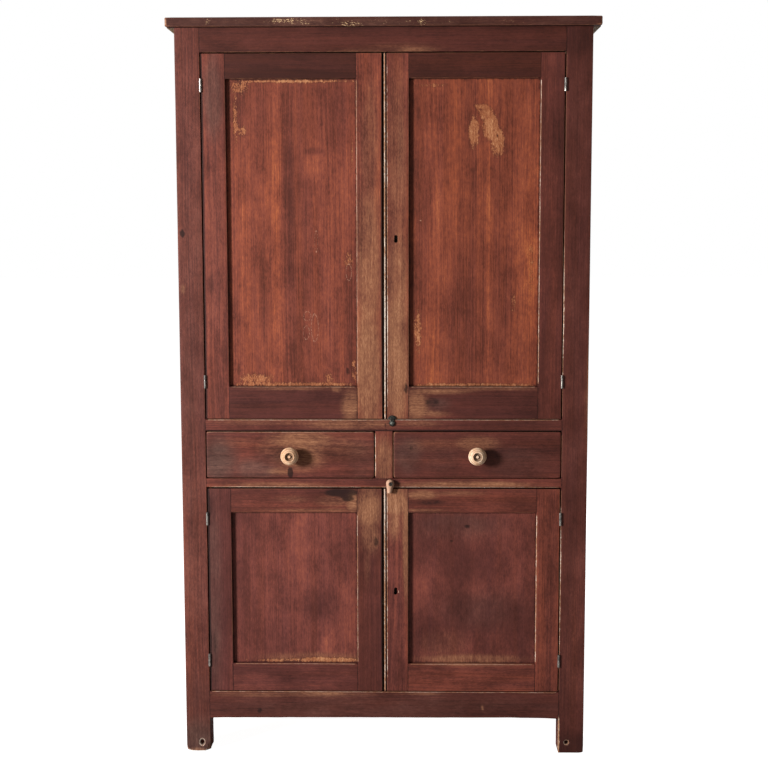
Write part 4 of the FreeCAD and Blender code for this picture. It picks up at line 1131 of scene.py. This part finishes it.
def make_drawer_front(side):
    node = f"{side}_drawer_front"
    box = corners(node)
    sides = corners(f"{side}_drawer_sides")
    x, z = middle_of(corners(f"{side}_drawer_knob"))
    bore = np.array([x, box[0][1] - CLEAR, z])
    hole = (bore - 8 * MM, bore + np.array([8, 30, 8]) * MM)
    tone, rub = {"left": (0.46, {"+z": 0.6, "-x": 0.15}), "right": (0.43, {"-x": 0.55})}[side]
    board = Board(box, 0, tone, EDGES, rub, wear=1.3, leaf=box)
    cutters = [(sides, lambda: merged_copy(f"{side}_drawer_sides")),
               (hole, lambda: rod_cutter(bore, 7.1 * MM, 30 * MM))]
    piece = make_boards(node, [board], [], cutters)
    finish_piece(piece, node, f"{side}_drawer", *FRAME_LOOK)


# From the foot to the middle of the pip: radius, and reach from the drawer's face, in mm.
KNOB_PROFILE = ((13.0, 0.0), (13.0, 2.2), (12.2, 3.6), (10.0, 5.4), (9.4, 8.5), (9.8, 11.5),
                (12.5, 14.4), (17.5, 17.2), (21.4, 19.8), (22.8, 22.4), (23.0, 24.6), (22.5, 27.0),
                (21.4, 29.4), (19.8, 31.6), (17.8, 33.6), (15.6, 35.4), (13.6, 36.8), (12.4, 37.5),
                (11.6, 37.6), (10.9, 37.2), (10.0, 35.8), (8.8, 33.6), (7.6, 31.9), (6.4, 31.0),
                (5.4, 31.0), (4.7, 31.8), (4.2, 33.2), (3.6, 34.4), (2.6, 35.1), (1.6, 35.2),
                (0.8, 34.8), (0.0, 34.6))


SHANK_PROFILE = ((0.0, -24.0), (6.2, -24.0), (7.0, -23.0), (7.0, 0.0))
WIDEST = 24 * MM                        # how far the knob's widest ring is from the drawer's face


def make_knob(side):
    """A turned knob: a foot, a waist, a round head with a cup and a pip in its top, and its shank."""
    node = f"{side}_drawer_knob"
    x, z = middle_of(corners(node))
    bm = bmesh.new()
    rings = [bm.verts.new((radius * MM, -reach * MM, 0.0))
             for radius, reach in SHANK_PROFILE + KNOB_PROFILE]
    lines = [bm.edges.new(pair) for pair in zip(rings, rings[1:])]
    bmesh.ops.spin(bm, geom=rings + lines, cent=(0, 0, 0), axis=(0, 1, 0), angle=math.tau,
                   steps=72, use_merge=True)
    bmesh.ops.remove_doubles(bm, verts=bm.verts, dist=0.005 * MM)
    bmesh.ops.recalc_face_normals(bm, faces=bm.faces)
    bmesh.ops.translate(bm, vec=(x, front, z), verts=bm.verts)
    mesh = mesh_of(bm, node)
    points = points_of(mesh)
    radius = np.hypot(points[:, 0] - x, points[:, 2] - z) / MM
    behind = points[:, 1] > front - WIDEST
    write(mesh, "turning", np.where(behind, -radius, radius))       # below 0 towards the foot
    shaded(mesh, 50)
    piece = placed(mesh, f"turned_{node}")
    finish_piece(piece, node, f"{side}_drawer", "turned_knob_wood", knob_finishes[side])


for side in SIDES:
    make_drawer_front(side)
    make_knob(side)


# ================================================================ turn buttons and ironwork


def plain_copy(node):
    """A copy of a CAD node, each of its flat faces in one."""
    bm = merged_copy(node)
    bmesh.ops.dissolve_limit(bm, angle_limit=math.radians(1.0), verts=bm.verts, edges=bm.edges)
    return bm


def make_iron_button():
    """Forged, so its hard edges are eased."""
    node = "iron_turn_button"
    bm = plain_copy(node)
    hard = [e for e in bm.edges if len(e.link_faces) == 2
            and e.calc_face_angle(0.0) > math.radians(30)]
    bmesh.ops.bevel(bm, geom=hard, offset=0.6 * MM, segments=3, profile=0.5, affect="EDGES",
                    material=-1, clamp_overlap=True)
    mesh = mesh_of(bm, node)
    shaded(mesh, 45)
    finish_piece(placed(mesh, "forged_turn_button"), node, node, "old_iron",
                 metals["blackened_iron"])


def make_wooden_button():
    """Whittled from a block: crowned across, thinner at its tail, and grimy round its screw."""
    node = "wooden_turn_button"
    low, high = corners(node)
    bm = plain_copy(node)
    for axis in (0, 2):
        for place in np.arange(low[axis] + 1.2 * MM, high[axis], 1.7 * MM):
            slice_at(bm, axis, place)
    mesh = mesh_of(bm, node)
    points = points_of(mesh)
    screw_x, screw_z = wood_screw
    fall = clamped((screw_z - points[:, 2]) / (screw_z - low[2]))
    middle = (low[0] + high[0]) / 2 - fall * 1.6 * MM
    half = (high[0] - low[0]) / 2 * (1.0 - 0.42 * fall)
    across = clamped(np.abs(points[:, 0] - middle) / half)
    rise = clamped((points[:, 2] - screw_z) / (high[2] - screw_z))
    from_screw = np.hypot(points[:, 0] - screw_x, points[:, 2] - screw_z) / MM
    share = clamped((high[1] - points[:, 1]) / (high[1] - low[1]))
    # how far each place lies below the top of the block, in mm
    crown = 6.0 * across ** 2.4 + 4.5 * rise ** 2 + 3.0 * fall ** 2 + 0.5 * wander(points, 160, 4)
    sink = crown * clamped((from_screw - 4.4) / 3.0)
    points[:, 1] += share * np.clip(sink, 0.0, 9.0) * MM
    move_points(mesh, points)
    write(mesh, "dirt", clamped(1.5 - np.abs(from_screw - 4.6) / 1.9))
    shaded(mesh, 40)
    finish_piece(placed(mesh, "whittled_turn_button"), node, node, "button_wood", button_finish)


def make_screw(name, box, turn, finish):
    """One turn button's screw, with the slot in its head."""
    node = "turn_button_screws"
    x, z = middle_of(box)
    bm = merged_copy(node)
    other = [vert for vert in bm.verts if abs(vert.co.z - z) > 12 * MM]
    bmesh.ops.delete(bm, geom=other, context="VERTS")
    slot = turned_cutter(np.array([14, 2.2, 1.1]) * MM, turn, (x, box[0][1], z))
    mesh = cut_away(mesh_of(bm, name), [slot])
    shaded(mesh, 35)
    finish_piece(placed(mesh, name), node, "case", "old_iron", finish)


wood_screw_box, iron_screw_box = loose_boxes("turn_button_screws")
wood_screw = middle_of(wood_screw_box)
make_wooden_button()
make_iron_button()
make_screw("flat_headed_screw", wood_screw_box, 24, metals["flat_screw"])
make_screw("round_headed_screw", iron_screw_box, 70, metals["round_screw"])


# ================================================================ pieces kept from the frame
KEPT = {
    metals["blackened_iron"]: ["board_nails"],
    metals["old_iron"]: ["hinge_case_leaves", "hinge_pins", "hinge_case_screws"]
                        + [f"{tier}_{side}_door_hinge_leaves" for tier in TIERS for side in SIDES],
    metals["lock_iron"]: [f"{tier}_lock_case" for tier in TIERS],
    metals["lock_brass"]: [f"{tier}_lock_bolt" for tier in TIERS],
    back_finish: ["back_boards"],
    inside_finish["x"]: ["shelves", "drawer_deck", "bottom_board"]
                        + [f"{side}_drawer_{part}" for side in SIDES for part in ("back", "bottom")],
    inside_finish["y"]: ["shelf_cleats", "drawer_runners_and_stops"]
                        + [f"{side}_drawer_sides" for side in SIDES],
}
for finish, nodes in KEPT.items():
    for node in nodes:
        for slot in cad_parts[node].material_slots:
            slot.material = finish


# ================================================================ floor, light and camera


def pale_floor():
    bm = bmesh.new()
    bmesh.ops.create_grid(bm, x_segments=1, y_segments=1, size=30.0)
    floor = placed(mesh_of(bm, "floor"), "floor")
    finish = Finish("pale_floor")
    in_view = finish.out(finish.node("LightPath"), "Is Camera Ray")
    paper = finish.out(finish.node("BsdfDiffuse", {"Color": grey(0.5)}))
    glow = finish.out(finish.node("Emission", {"Color": grey(1.0), "Strength": 0.97}))
    both = finish.out(finish.node("AddShader", {"Shader": paper, "Shader_001": glow}))
    seen = finish.node("MixShader", {"Fac": in_view, "Shader": paper, "Shader_001": both})
    finish.node("OutputMaterial", {"Surface": finish.out(seen)})
    floor.data.materials.append(finish.owner)


AMBIENT = 0.12


def studio_world():
    """A plain room: white where the camera or a reflection sees it, dimmer as light."""
    world = bpy.data.worlds.new("studio")
    bpy.context.scene.world = world
    finish = Finish("studio", world)
    path = finish.node("LightPath")
    shown = finish.higher(finish.out(path, "Is Camera Ray"), finish.out(path, "Is Transmission Ray"))
    white = finish.higher(shown, finish.out(path, "Is Glossy Ray"))
    background = finish.node("Background", {"Color": grey(1.0),
                                            "Strength": white * (1.0 - AMBIENT) + AMBIENT})
    finish.node("OutputWorld", {"Surface": finish.out(background)})


def soft_lamp(name, place, target, size, watts):
    lamp = bpy.data.lights.new(name, "AREA")
    lamp.shape = "RECTANGLE"
    lamp.size, lamp.size_y = size
    lamp.energy = watts
    light = bpy.data.objects.new(name, lamp)
    light.location = place
    light.rotation_euler = (Vector(target) - Vector(place)).to_track_quat("-Z", "Y").to_euler()
    bpy.context.scene.collection.objects.link(light)


def make_camera():
    """Looks at the cupboard from 3.6 m and a little to its right, a little down."""
    width, focal_length, shift = 768, 1430, 1.1                 # of the view, in pixels
    camera = bpy.data.cameras.new("camera")
    camera.sensor_width = 36.0
    camera.lens = camera.sensor_width * focal_length / width
    camera.shift_y = shift / width
    view = bpy.data.objects.new("camera", camera)
    view.location = (0.0683, front - 3.608, 1.3866)
    turns = (("Z", 1.078), ("X", 90 - 6.632), ("Z", -0.111))
    turn = Matrix.Identity(4)
    for axis, degrees in turns:
        turn = turn @ Matrix.Rotation(math.radians(degrees), 4, axis)
    view.rotation_euler = turn.to_euler()
    bpy.context.scene.collection.objects.link(view)
    bpy.context.scene.camera = view


pale_floor()
studio_world()
make_camera()
soft_lamp("window", (-3.35, -2.75, 1.6), (0.0, -0.2, 0.95), (0.75, 0.95), 285)
soft_lamp("fill", (2.4, 3.2, 2.2), (0.0, 0.2, 0.9), (2.0, 2.0), 110)
bpy.context.scene.view_settings.view_transform = "Standard"
